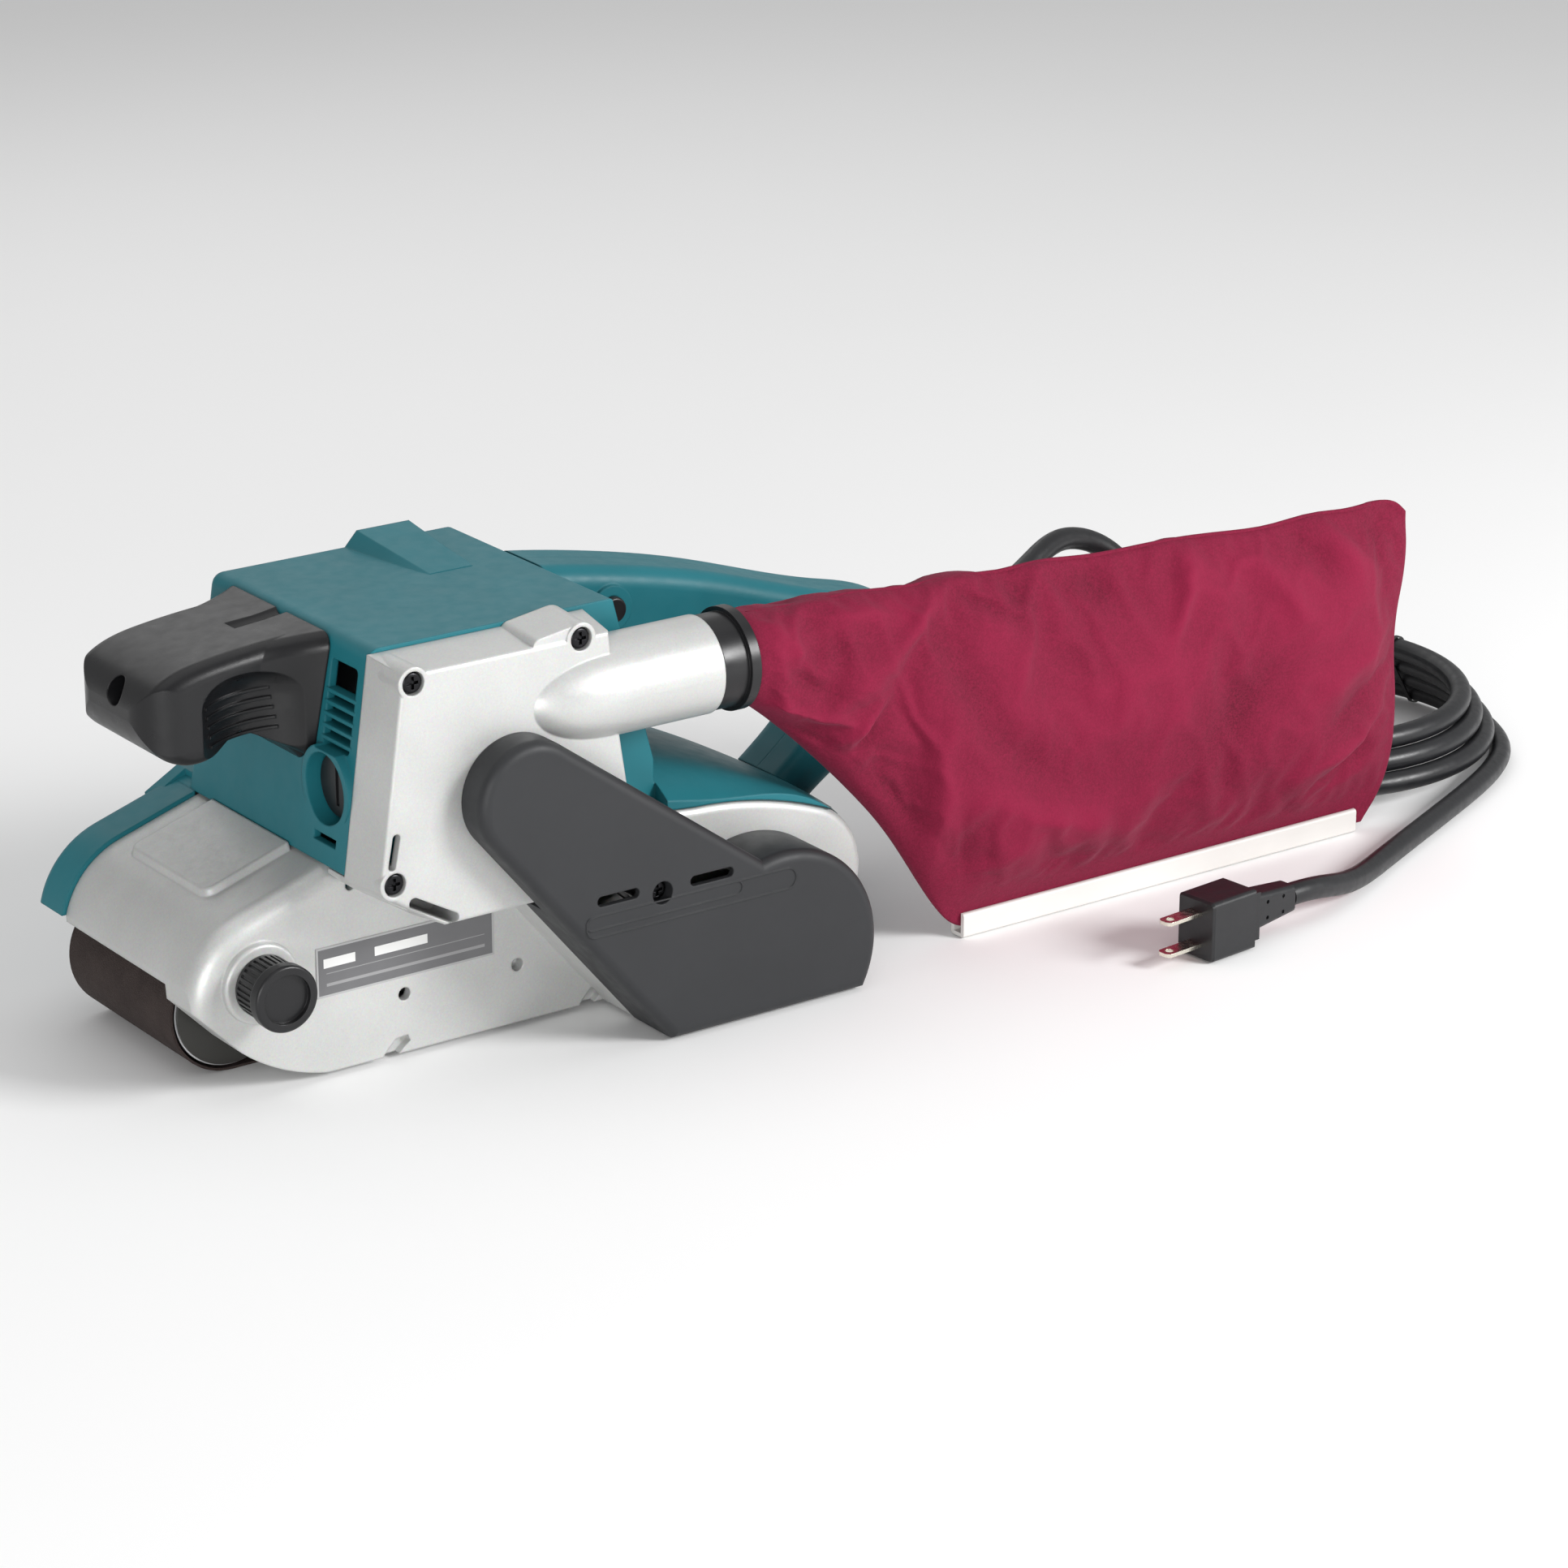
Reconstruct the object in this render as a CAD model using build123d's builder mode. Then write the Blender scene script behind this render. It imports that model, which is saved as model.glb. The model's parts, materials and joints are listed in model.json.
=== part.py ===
"""Handheld belt sander for a 76 x 533 mm belt, with dust bag, cord and plug.

Millimetres. The origin is on the work surface under the middle of the sole, half-way between the
rollers and at mid belt width. +X runs to the rear handle, -Y to the belt-cover side, +Z up.
"""

from build123d import *
import copy
import math
import os

os.makedirs("parts", exist_ok=True)

# ---------------------------------------------------------------- driving dimensions
belt_width = 76.0
belt_loop = 533.0
belt_thickness = 0.95
roller_r = 23.0
running = 0.05  # radial clearance of a shaft that turns or slides in a hole
gap = 0.2  # air between fixed neighbours

# half the distance between the roller axles follows from the length of the belt
axle_x = (belt_loop - math.pi * (2 * roller_r + belt_thickness)) / 4
axle_z = roller_r + belt_thickness
belt_edge = belt_width / 2

# planes across the width, from the belt-cover side to the open side
cover_face_y = -111.0
side_cover_y = -97.0
gear_boss_y = -84.0
housing_near_y = -76.0
frame_near_y = -65.0
frame_inner_y = -44.0
housing_far_y = 36.0
frame_far_y = 43.8
skirt_near_y = 44.0
skirt_far_y = 50.0
handle_y = -15.0
handle_half = 17.0

# heights
frame_bottom_z = 2.0
deck_z = 52.0
seam_z = 80.0
housing_top_z = 160.5
pad_top_z = 166.0
wall = 4.0
thin_wall = 3.0

# motor axis, parallel to Y
motor_x = -12.0
motor_z = 105.0
stator_r = 41.0
armature_r = 24.6
motor_shaft_r = 4.0
fan_r = 37.5

# drive, axles and timing belt
drive_shaft_r = 6.0
axle_r = 4.0
tooth_pitch = 3.0
small_teeth = 13
large_teeth = 39
pulley_y = -99.5
pulley_width = 8.0
timing_belt_thickness = 1.4

# screws of the side cover and of the belt cover, as (X, Z)
cover_screw = (41, 59.5)
side_cover_screw_places = ((-52, 153), (-61.5, 81), (17, 156))

# brush caps
brush_y = -60.0
brush_z = 107.0
brush_cap_r = 11.5
brush_recess_r = 13.2

# dust nozzle, parallel to X, and the bag on it
nozzle_y = -87.0
nozzle_z = 133.0
nozzle_r = 18.3
nozzle_bore_r = 16.0
nozzle_end_x = 73.0
nose_tip_x = -9.0
nose_end_x = 30.0
bag_half = 15.0

# tracking knob and fork
knob_x = -99.0
knob_z = 43.0
knob_r = 12.4
fork_pivot_x = -60.0
arm_y = 39.0
arm_thickness = 3.5

# clamp lever of the tension carriage
lever_x = -30.0
lever_y = 33.0

# trigger and lock button in the handle
trigger_x = 69.0
trigger_z = 118.0
button_x = 72.0
button_z = 140.0

# power cord
cord_r = 4.5
coil_x = 440.0
coil_y = 0.0
coil_r = 84.0
coil_floor_z = 5.5
coil_rise = 7.6  # how much higher and narrower each further turn lies
coil_narrowing = 5.2
coil_start = 175  # directions in degrees at which the cord lands on the coil and leaves it
coil_turned = 1280
tie_at = 10

# plug, lying on its narrow side
plug_place = Location((251.9, -157.7, 12.6), (0, 0, 6.1))


# ---------------------------------------------------------------- helpers
def side(y):
    """Sketch plane at Y = y with local axes +X and +Z; an extrusion from it runs towards -Y."""
    return Plane.XZ.offset(-y)


def block(x, y, z, mode=Mode.ADD):
    """A box between pairs of X, Y and Z values, in the part being built."""
    with Locations((sum(x) / 2, sum(y) / 2, sum(z) / 2)):
        Box(x[1] - x[0], y[1] - y[0], z[1] - z[0], mode=mode)


def rod_y(x, z, r, y, mode=Mode.ADD):
    """A cylinder along Y between a pair of Y values, in the part being built."""
    with Locations(Location((x, sum(y) / 2, z), (90, 0, 0))):
        Cylinder(r, y[1] - y[0], mode=mode)


def rod_x(y, z, r, x, mode=Mode.ADD):
    """A cylinder along X between a pair of X values, in the part being built."""
    with Locations(Location((sum(x) / 2, y, z), (0, 90, 0))):
        Cylinder(r, x[1] - x[0], mode=mode)


def rod_z(x, y, r, z, mode=Mode.ADD):
    """A cylinder along Z between a pair of Z values, in the part being built."""
    with Locations((x, y, sum(z) / 2)):
        Cylinder(r, z[1] - z[0], mode=mode)


def slot_y(start, end, width, y, mode=Mode.SUBTRACT):
    """A slot with round ends between two (X, Z) points, cut through a pair of Y values."""
    with BuildPart(mode=Mode.PRIVATE) as cutter:
        with BuildSketch(side(y[1])):
            SlotCenterToCenter(math.dist(start, end), width)
        extrude(amount=y[1] - y[0])
    angle = math.degrees(math.atan2(end[1] - start[1], end[0] - start[0]))
    middle = ((start[0] + end[0]) / 2, 0, (start[1] + end[1]) / 2)
    add(cutter.part.rotate(Axis.Y, -angle).translate(middle), mode=mode)


def screw(length, head_r=3.6, head_h=2.4, shank_r=2.0):
    """A cross-recess screw that points down -Z, with the underside of its head at the origin."""
    with BuildPart() as made:
        with Locations((0, 0, head_h / 2)):
            Cylinder(head_r, head_h)
        fillet(made.edges().group_by(Axis.Z)[-1], head_h * 0.5)
        with Locations((0, 0, -length / 2)):
            Cylinder(shank_r, length)
        with BuildSketch(Plane.XY.offset(head_h)):
            Rectangle(head_r * 1.15, head_r * 0.3)
            Rectangle(head_r * 0.3, head_r * 1.15)
        extrude(amount=-head_h * 0.6, mode=Mode.SUBTRACT)
    return made.part


def facing(x, y, z, turn):
    """The place of a screw: its head points along +Z turned by the given angles."""
    return Location((x, y, z), turn)


faces_near = (90, 0, 0)
faces_far = (-90, 0, 0)
faces_front = (0, -90, 0)


# ---------------------------------------------------------------- outlines shared by neighbours
with BuildSketch() as frame_outline:
    with BuildLine():
        Polyline((-125, 44), (-124.5, 36), (-107, 18))
        ThreePointArc((-107, 18), (-90, 7.4), (-72, frame_bottom_z))
        Polyline((-72, frame_bottom_z), (122, frame_bottom_z), (145, 20), (147, 36))
        ThreePointArc((147, 36), (141, 50), (128, 60))
        Polyline((128, 60), (74, 77), (45, seam_z), (-66, seam_z), (-102, 68.5))
        TangentArc((-102, 68.5), (-125, 44), tangent=(-36, -11.5))
    make_face()

# the wall behind the belt cover is higher at the rear than the rest of the frame
with BuildSketch() as rear_wall_outline:
    with BuildLine():
        Polyline((60, 78.3), (60, frame_bottom_z), (122, frame_bottom_z), (147, 20), (149.6, 35))
        ThreePointArc((149.6, 35), (145, 54), (130, 65.4))
        ThreePointArc((130, 65.4), (103, 73.6), (74, 77))
        Line((74, 77), (60, 78.3))
    make_face()

with BuildSketch() as cover_outline:
    with BuildLine():
        Polyline((-28.6, 90.6), (46, 1), (126, 1), (131, 24))
        Polyline((131, 24), (100, 58), (88, 60), (0, 123.5), (-28.6, 90.6))
    make_face()
    with Locations((motor_x, motor_z)):
        Circle(22)
    with Locations((axle_x, 21.5)):
        Circle(41)
    with Locations((50, -39)):
        Rectangle(300, 80, mode=Mode.SUBTRACT)

with BuildSketch() as side_cover_outline:
    with BuildLine():
        Polyline((-58, 159), (-70, 78), (-67, 75), (-42, 59), (33, 59))
        Polyline((33, 59), (39, 94), (35, 120), (31, 159), (-58, 159))
    make_face()

with BuildSketch() as housing_outline:
    with BuildLine():
        Line((-70, seam_z + gap), (-57, housing_top_z))
        Polyline((-57, housing_top_z), (44, housing_top_z), (61, 96), (61, seam_z + gap))
        Line((61, seam_z + gap), (-70, seam_z + gap))
    make_face()

handle_back = ((165, 45), (178, 54), (203, 70), (220, 85), (226, 98), (216, 112), (184, 124))
handle_back += ((120, 144), (79, 154), (45.2, 160))

with BuildSketch() as handle_outline:
    with BuildLine():
        Line((45.2, 160), (55.6, 121))
        Spline((55.6, 121), (64, 119.5), (110, 110), (150, 101.5), (170, 95), (173, 82),
               (163, 67), (150, 56.6))
        Line((150, 56.6), (165, 45))
        Spline(*handle_back)
    make_face()


# ---------------------------------------------------------------- cast frame
guard_far_y = 29.5

with BuildPart() as knob_boss:
    rod_y(knob_x, knob_z, 15, (-68, -60))
    fillet(knob_boss.edges().group_by(Axis.Y)[0], 1.2)

# raised pad on top of the guard, along its slope
guard_slope = Plane(origin=(-86, -11, 73.6), x_dir=(36, 0, 11.5), z_dir=(-11.5, 0, 36))
with BuildPart() as guard_pad:
    with BuildSketch(guard_slope.offset(-3)):
        with Locations((4, 0)):
            RectangleRounded(52, 62, 7)
    extrude(amount=5.6, taper=32)
    fillet(guard_pad.faces().sort_by(Axis.Z)[-1].edges(), 1.4)
    block((-70.4, -50), (-60, 60), (60, 95), mode=Mode.SUBTRACT)

with BuildPart() as bearing_tunnel:
    rod_y(axle_x, axle_z, 18.5, (gear_boss_y, frame_inner_y - 1))
    rod_y(axle_x, axle_z, 14, (gear_boss_y - 1, -74), mode=Mode.SUBTRACT)
    rod_y(axle_x, axle_z, 14, (-58, frame_inner_y), mode=Mode.SUBTRACT)
    rod_y(axle_x, axle_z, 10, (gear_boss_y - 1, frame_inner_y), mode=Mode.SUBTRACT)

with BuildPart() as frame:
    with BuildSketch(side(frame_far_y)):
        add(frame_outline.sketch)
    extrude(amount=frame_far_y - frame_near_y)
    guard_edges = frame.faces().sort_by(Axis.Y)[0].edges().filter_by(lambda e: e.center().X < -66)
    fillet(guard_edges.filter_by(lambda e: e.center().Z > 42), 8)
    add(knob_boss.part)
    add(guard_pad.part)
    # the motor housing's front cap covers the far end of the guard
    block((-130, -66.5), (guard_far_y, frame_far_y + 1), (40, 90), mode=Mode.SUBTRACT)

    # rear wall that carries the belt cover
    with BuildSketch(side(frame_near_y + wall)):
        add(cover_outline.sketch)
        add(rear_wall_outline.sketch)
        with Locations((-10, 108.6)):
            Rectangle(98.6, 100, mode=Mode.SUBTRACT)
        with Locations((60, 178)):
            Rectangle(100, 200, mode=Mode.SUBTRACT)
        with Locations((50, -20)):
            Rectangle(300, 44, mode=Mode.SUBTRACT)
    extrude(amount=frame_near_y + wall - gear_boss_y)
    rear_rim = frame.faces().sort_by(Axis.Y)[0].edges().filter_by(GeomType.CIRCLE)
    fillet(rear_rim.filter_by(lambda e: e.center().X > 80 and e.center().Z > 60), 3.5)
    # backing of the belt cover where it rises above the seam, between side cover and rear deck
    with BuildSketch(side(housing_near_y - gap)):
        add(cover_outline.sketch)
        with Locations((50.3, 78)):
            Rectangle(22, 60, mode=Mode.INTERSECT)
    extrude(amount=housing_near_y - gap - gear_boss_y)

    # hollow inside, open to the far side and along the belt
    with BuildSketch(side(frame_far_y + 1)):
        add(frame_outline.sketch)
        offset(amount=-wall, mode=Mode.REPLACE)
    extrude(amount=frame_far_y + 1 - frame_near_y - wall, mode=Mode.SUBTRACT)
    block((-130, 136), (frame_inner_y, frame_far_y + 1), (-5, 41.5), mode=Mode.SUBTRACT)
    block((52, 136), (gear_boss_y + wall, frame_near_y + wall), (6, 58), mode=Mode.SUBTRACT)

    # deck over the belt, with the pocket for the motor housing
    block((-62, 131), (frame_near_y + 1, frame_far_y), (deck_z, deck_z + wall))
    block((-66, -62), (frame_near_y + 1, frame_far_y), (deck_z, seam_z - 1))
    block((-62, 45), (frame_near_y + wall, frame_far_y + 1), (deck_z + wall, seam_z + 1), mode=Mode.SUBTRACT)
    block((45, 49), (frame_near_y + 1, frame_far_y), (deck_z, seam_z - 2.5))

    # sole carrier and central beam
    block((-64, 64), (frame_near_y + 1, belt_edge - 2), (4.2, 12))
    block((-24, 64), (frame_near_y + 1, 24), (12, 42))
    block((-38, -10), (10, 41), (9, 13.8))
    block((-38, -10), (10, 41), (34.2, 38.5))
    rod_z(lever_x, lever_y, 3, (8, 40), mode=Mode.SUBTRACT)
    rod_x(0, axle_z, axle_r + running, (-30, 20), mode=Mode.SUBTRACT)
    with Locations((-50, 0, 0), (50, 0, 0)):
        Hole(1.5)

    # tunnel of the drive shaft with its two bearing seats
    rod_y(axle_x, axle_z, 16, (gear_boss_y - 1, frame_inner_y + 2), mode=Mode.SUBTRACT)
    add(bearing_tunnel.part)

    # bore of the tracking screw
    rod_y(knob_x, knob_z, 3 + running, (-70, -55), mode=Mode.SUBTRACT)

    # threaded holes and hook slots for a sanding shoe
    for x in (-40, 8):
        rod_y(x, 24.5, 2.5, (frame_near_y - 1, frame_near_y + wall + 1), mode=Mode.SUBTRACT)
    for x in (-50, 34):
        with BuildSketch(side(frame_near_y + 3)):
            with BuildLine():
                Polyline((x, 0), (x + 1, 3), (x + 6, 8), (x + 11, 8.5), (x + 12, 6), (x + 9, 4))
                Polyline((x + 9, 4), (x + 5, 0), (x, 0))
            make_face()
        extrude(amount=4, mode=Mode.SUBTRACT)

    # screw bores
    rod_y(-61, 71, 2, (frame_near_y - 1, -40), mode=Mode.SUBTRACT)
    rod_y(*cover_screw, 2, (gear_boss_y - 1, -70), mode=Mode.SUBTRACT)
frame.part.label = "frame"
export_step(frame.part, "parts/frame.step")


# ---------------------------------------------------------------- motor housing
def deck_section(x, near, top, far):
    """Cross-section of the rear deck at one X, from its near edge over the crest to the far edge."""
    with BuildSketch(Plane.YZ.offset(x)) as section:
        with BuildLine():
            Line((gear_boss_y, 30), (gear_boss_y, near))
            Spline((gear_boss_y, near), (-70, (near + 2 * top) / 3), (-46, top), (-12, top - 0.7),
                   (24, top - 3.6), (skirt_far_y, far))
            Polyline((skirt_far_y, far), (skirt_far_y, 30), (gear_boss_y, 30))
        make_face()
    return section.sketch


with BuildPart() as rear_deck:
    for place in ((50, 82.5, 96, 86), (61.6, 82, 93, 84), (74, 79.6, 90, 80), (100, 76.2, 82, 74.5),
                  (130, 67, 68.5, 60.8), (150, 49, 56, 49), (172, 31.5, 39.5, 33)):
        add(deck_section(*place))
    loft()
    # rounded rear end in plan, and the seat on the frame
    with BuildSketch(Plane.XY):
        with BuildLine():
            Polyline((45, gear_boss_y), (139, gear_boss_y), (151, -61))
            Spline((151, -61), (167, -36), (171, 0), (162, 34), (150, skirt_far_y))
            Polyline((150, skirt_far_y), (45, skirt_far_y), (45, gear_boss_y))
        make_face()
    extrude(amount=120, mode=Mode.INTERSECT)
    frame_span = (frame_near_y + wall, skirt_near_y)
    rear_wall_span = (gear_boss_y - 6, frame_near_y + wall + gap)
    for outline, y in ((frame_outline, frame_span), (rear_wall_outline, rear_wall_span)):
        with BuildSketch(side(y[1])):
            add(outline.sketch)
            offset(amount=gap, mode=Mode.REPLACE)
        extrude(amount=y[1] - y[0], mode=Mode.SUBTRACT)
    block((40, 61.6), (gear_boss_y - 1, housing_near_y), (20, 120), mode=Mode.SUBTRACT)
    block((40, 61.6), (gear_boss_y - 1, skirt_near_y), (20, seam_z + gap), mode=Mode.SUBTRACT)
    with BuildSketch(side(handle_y + handle_half + gap)):
        add(handle_outline.sketch)
        offset(amount=gap, mode=Mode.REPLACE)
    extrude(amount=2 * (handle_half + gap), mode=Mode.SUBTRACT)
    # hollow
    for x, height, thickness in ((62, 81.5, 9), (122, 65.5, 3)):
        with BuildSketch(Plane.YZ.offset(x)):
            with Locations((-13, height)):
                Rectangle(82, thickness)
    loft(mode=Mode.SUBTRACT)

# cap over the far end of the guard
with BuildPart() as front_cap:
    with BuildSketch(side(skirt_far_y)):
        add(frame_outline.sketch)
        offset(amount=1.6, kind=Kind.INTERSECTION, mode=Mode.REPLACE)
        with Locations((-166, 90)):
            Rectangle(200, 92, mode=Mode.INTERSECT)
    extrude(amount=skirt_far_y - guard_far_y - gap)
    cap_rim = front_cap.faces().sort_by(Axis.Y)[-1].edges().filter_by(lambda e: e.center().X < -67)
    fillet(cap_rim.filter_by(lambda e: e.center().Z > 45), 5)
    with BuildSketch(side(skirt_near_y + 1)):
        add(frame_outline.sketch)
        offset(amount=-wall, mode=Mode.REPLACE)
    extrude(amount=30, mode=Mode.SUBTRACT)
    block((-70, -50), (0, skirt_near_y), (40, seam_z + gap), mode=Mode.SUBTRACT)

with BuildPart() as vent_window:
    with BuildSketch(Plane.YZ.offset(-75)):
        with Locations((-62, 136.5)):
            RectangleRounded(18, 31, 2)
    extrude(amount=20)

# low hump on the top, which fades out towards the near side
with BuildPart() as top_hump:
    with BuildSketch(side(33)):
        Polygon((-4, 158), (3.5, pad_top_z), (26, pad_top_z), (33, 158), align=None)
    with BuildSketch(side(-14)):
        Polygon((0, 158), (6, housing_top_z + 0.2), (24, housing_top_z + 0.2), (30, 158), align=None)
    loft(ruled=True)


with BuildPart() as motor_housing:
    with BuildSketch(side(housing_far_y)):
        add(housing_outline.sketch)
    extrude(amount=housing_far_y - housing_near_y)
    top_edges = motor_housing.edges().filter_by(Axis.Y).group_by(Axis.Z)[-1].sort_by(Axis.X)
    fillet(top_edges[0], 5)
    fillet(top_edges[-1], 1.5)
    fillet(motor_housing.faces().sort_by(Axis.Y)[-1].edges().filter_by(lambda e: e.center().Z > 80), 4)
    add(top_hump.part)
    add(rear_deck.part)
    add(front_cap.part)

    # far skirt beside the belt
    with BuildSketch(side(skirt_far_y)):
        with BuildLine():
            Polyline((-80, 44), (148, 44), (147, 50), (130, 60.5), (100, 74), (61, 84), (-66, 84), (-80, 76))
            Line((-80, 76), (-80, 44))
        make_face()
    extrude(amount=skirt_far_y - skirt_near_y)
    block((-66, 61), (housing_far_y - 2, skirt_far_y - 1), (seam_z + gap, 84))

    # tub that reaches down into the frame
    block((-61.5, 44.5), (-60.6, housing_far_y - 1), (deck_z + wall + gap, seam_z + 2))

    # hollow
    with BuildSketch(side(housing_far_y - thin_wall)):
        add(housing_outline.sketch)
        offset(amount=-thin_wall, mode=Mode.REPLACE)
    extrude(amount=housing_far_y - housing_near_y - 2 * thin_wall, mode=Mode.SUBTRACT)
    tub_floor_z = deck_z + wall + gap + thin_wall
    block((-58.5, 41.5), (-57.6, housing_far_y - 4), (tub_floor_z, 90), mode=Mode.SUBTRACT)
    rod_y(motor_x, motor_z, 39, (housing_near_y - 1, housing_near_y + thin_wall + 1), mode=Mode.SUBTRACT)

    # far bearing seat
    rod_y(motor_x, motor_z, 14, (24, housing_far_y - 1))
    rod_y(motor_x, motor_z, 11, (23, 31), mode=Mode.SUBTRACT)

    # dust nozzle clearance
    rod_x(nozzle_y, nozzle_z, nozzle_r + gap, (27.8, 70), mode=Mode.SUBTRACT)

    # brush cap seats
    rod_x(brush_y, brush_z, 16, (-67.2, -55))
    rod_x(brush_y, brush_z, brush_recess_r, (-75, -58.1), mode=Mode.SUBTRACT)
    rod_x(brush_y, brush_z, 16, (50, 57.5))
    rod_x(brush_y, brush_z, brush_recess_r, (53, 75), mode=Mode.SUBTRACT)
    rod_x(brush_y, brush_z, 6.5 + gap, (-62, 55), mode=Mode.SUBTRACT)

    # air vents: a barred window and a small slot in the front, louvres in the far side
    add(vent_window.part, mode=Mode.SUBTRACT)
    for level in range(5):
        z = 123 + 4.2 * level
        block((-61 + 0.16 * (z - 136), -56.5), (-72, -52), (z, z + 1.5))
    block((-75, -62), (-69, -54), (87.3, 90.5), mode=Mode.SUBTRACT)
    for z in range(90, 146, 8):
        block((-44, 20), (housing_far_y - 5, housing_far_y + 1), (z, z + 3.5), mode=Mode.SUBTRACT)
    rod_y(motor_x, motor_z, 14, (housing_far_y - 5, housing_far_y))

    # bores of the side cover's screws
    for x, z in side_cover_screw_places:
        rod_y(x, z, 2, (housing_near_y - 1, -64), mode=Mode.SUBTRACT)
motor_housing.part.label = "motor_housing"
export_step(motor_housing.part, "parts/motor_housing.step")


# ---------------------------------------------------------------- rear handle, in two halves
def handle_half_shell(sign):
    """One half of the hollow D-handle, on the side of its parting plane given by sign."""
    outer_y = handle_y + sign * handle_half
    with BuildPart() as half:
        with BuildSketch(side(handle_y)):
            add(handle_outline.sketch)
        extrude(amount=-sign * handle_half)
        outer_face = half.faces().sort_by(Axis.Y)[-1 if sign > 0 else 0]
        fillet(outer_face.edges().filter_by(GeomType.BSPLINE), 7)
        with BuildSketch(side(handle_y)) as grip_hollow:
            with Locations((66, 139)):
                Circle(14.5)
            with Locations((184, 107)):
                Circle(11)
            make_hull()
        with BuildSketch(side(handle_y)) as post_hollow:
            with Locations((196, 97)):
                Circle(17)
            with Locations((173, 62)):
                Circle(9)
            make_hull()
        extrude(grip_hollow.sketch, amount=-sign * (handle_half - thin_wall), mode=Mode.SUBTRACT)
        extrude(post_hollow.sketch, amount=-sign * (handle_half - thin_wall), mode=Mode.SUBTRACT)
        block((66, 109), (handle_y - 9.6, handle_y + 9.6), (100, 126), mode=Mode.SUBTRACT)
        rod_y(trigger_x, trigger_z, 1.5, (handle_y - 12, handle_y + 12), mode=Mode.SUBTRACT)
        rod_x(handle_y, 98, 6.2, (200, 240), mode=Mode.SUBTRACT)
        if sign < 0:
            rod_y(button_x, button_z, 9, (outer_y - 1.5, outer_y + 4))
            rod_y(button_x, button_z, 5 + running, (outer_y - 3, outer_y + 6), mode=Mode.SUBTRACT)
        else:
            for x, z in ((60, 148), (150, 118), (176, 60)):
                rod_y(x, z, 4, (handle_y, outer_y - 1))
                rod_y(x, z, 1.75, (handle_y - 1, outer_y + 1), mode=Mode.SUBTRACT)
    return half.part


handle_near = handle_half_shell(-1)
handle_near.label = "handle_near"
export_step(handle_near, "parts/handle_near.step")

handle_far = handle_half_shell(1)
handle_far.label = "handle_far"
export_step(handle_far, "parts/handle_far.step")


# ---------------------------------------------------------------- front grip
grip_near_y = -44.0
grip_far_y = 14.0
scoop_x = -88.0
scoop_r = 27.0
scoop_depth = 6.5

# finger hollows: upright round channels with soft upper ends, and the fine ribs that follow the near one
with BuildPart() as grip_scoops:
    for y in (grip_near_y - scoop_r + scoop_depth, grip_far_y + scoop_r - scoop_depth):
        rod_z(scoop_x, y, scoop_r, (100, 151))
    fillet(grip_scoops.edges().group_by(Axis.Z)[-1], 13)

with BuildPart() as rib_layers:
    for level in range(6):
        with Locations(Location((scoop_x - 0.6 * level, grip_near_y, 125.2 + 3.7 * level), (0, -5, 0))):
            Box(27, 14, 1.1)

with BuildPart() as grip_ribs:
    rib_axis_y = grip_near_y - scoop_r + scoop_depth
    rod_z(scoop_x, rib_axis_y, scoop_r + 1, (118, 147))
    rod_z(scoop_x, rib_axis_y, scoop_r - 0.9, (117, 148), mode=Mode.SUBTRACT)
    add(rib_layers.part, mode=Mode.INTERSECT)

# flange that widens towards the motor housing
with BuildPart() as grip_flange:
    for x, width, z in ((-89, 57, (127, 156.4)), (-76, 60, (121, 157.6)), (-56, 76, (108, 160.2))):
        with BuildSketch(Plane.YZ.offset(x)):
            with Locations((handle_y, sum(z) / 2)):
                RectangleRounded(width, z[1] - z[0], 6)
    loft()

with BuildPart() as front_grip:
    with BuildSketch(side(grip_far_y)):
        with BuildLine():
            Spline((-57.6, 159.4), (-76, 158), (-100, 155.5), (-116, 151.5), (-124.5, 145), (-126.5, 135),
                   (-121, 124), (-108, 118.2), (-97, 121), (-88, 126), (-76, 122), (-64.9, 112))
            Line((-64.9, 112), (-57.6, 159.4))
        make_face()
    extrude(amount=grip_far_y - grip_near_y)
    for outer in (front_grip.faces().sort_by(Axis.Y)[0], front_grip.faces().sort_by(Axis.Y)[-1]):
        fillet(outer.edges().filter_by(GeomType.BSPLINE), 6)
    # nose rounded in plan
    with BuildSketch(Plane.XY.offset(100)):
        with Locations((-76.5, handle_y)):
            RectangleRounded(100, grip_far_y - grip_near_y, 15)
    extrude(amount=70, mode=Mode.INTERSECT)
    add(grip_flange.part)
    add(grip_scoops.part, mode=Mode.SUBTRACT)
    add(grip_ribs.part)
    # shallow recess on top, where the flange meets the motor housing
    with Locations(Location((-66, handle_y - 2, 161.6), (0, 84, 0))):
        Cylinder(4.5, 26, mode=Mode.SUBTRACT)
    # seat against the motor housing
    with BuildSketch(side(60)):
        Polygon((-64.9, 112), (-57.6, 159.4), (-57.4, 175), (-30, 175), (-30, 90), (-68.3, 90), align=None)
    extrude(amount=140, mode=Mode.SUBTRACT)
    rod_x(brush_y, brush_z, 16 + gap, (-70, -55), mode=Mode.SUBTRACT)
    rod_x(handle_y - 3, 143, 5, (-130, -104), mode=Mode.SUBTRACT)
    rod_x(handle_y - 3, 143, 2.5, (-105, -50), mode=Mode.SUBTRACT)
    rod_x(handle_y, 128, 9, (-100, -55), mode=Mode.SUBTRACT)
front_grip.part.label = "front_grip"
export_step(front_grip.part, "parts/front_grip.step")

with BuildPart() as front_grip_screw:
    add(screw(36, head_r=4.4, head_h=3, shank_r=2.45).locate(facing(-104, handle_y - 3, 143, faces_front)))
front_grip_screw.part.label = "front_grip_screw"
export_step(front_grip_screw.part, "parts/front_grip_screw.step")


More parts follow.
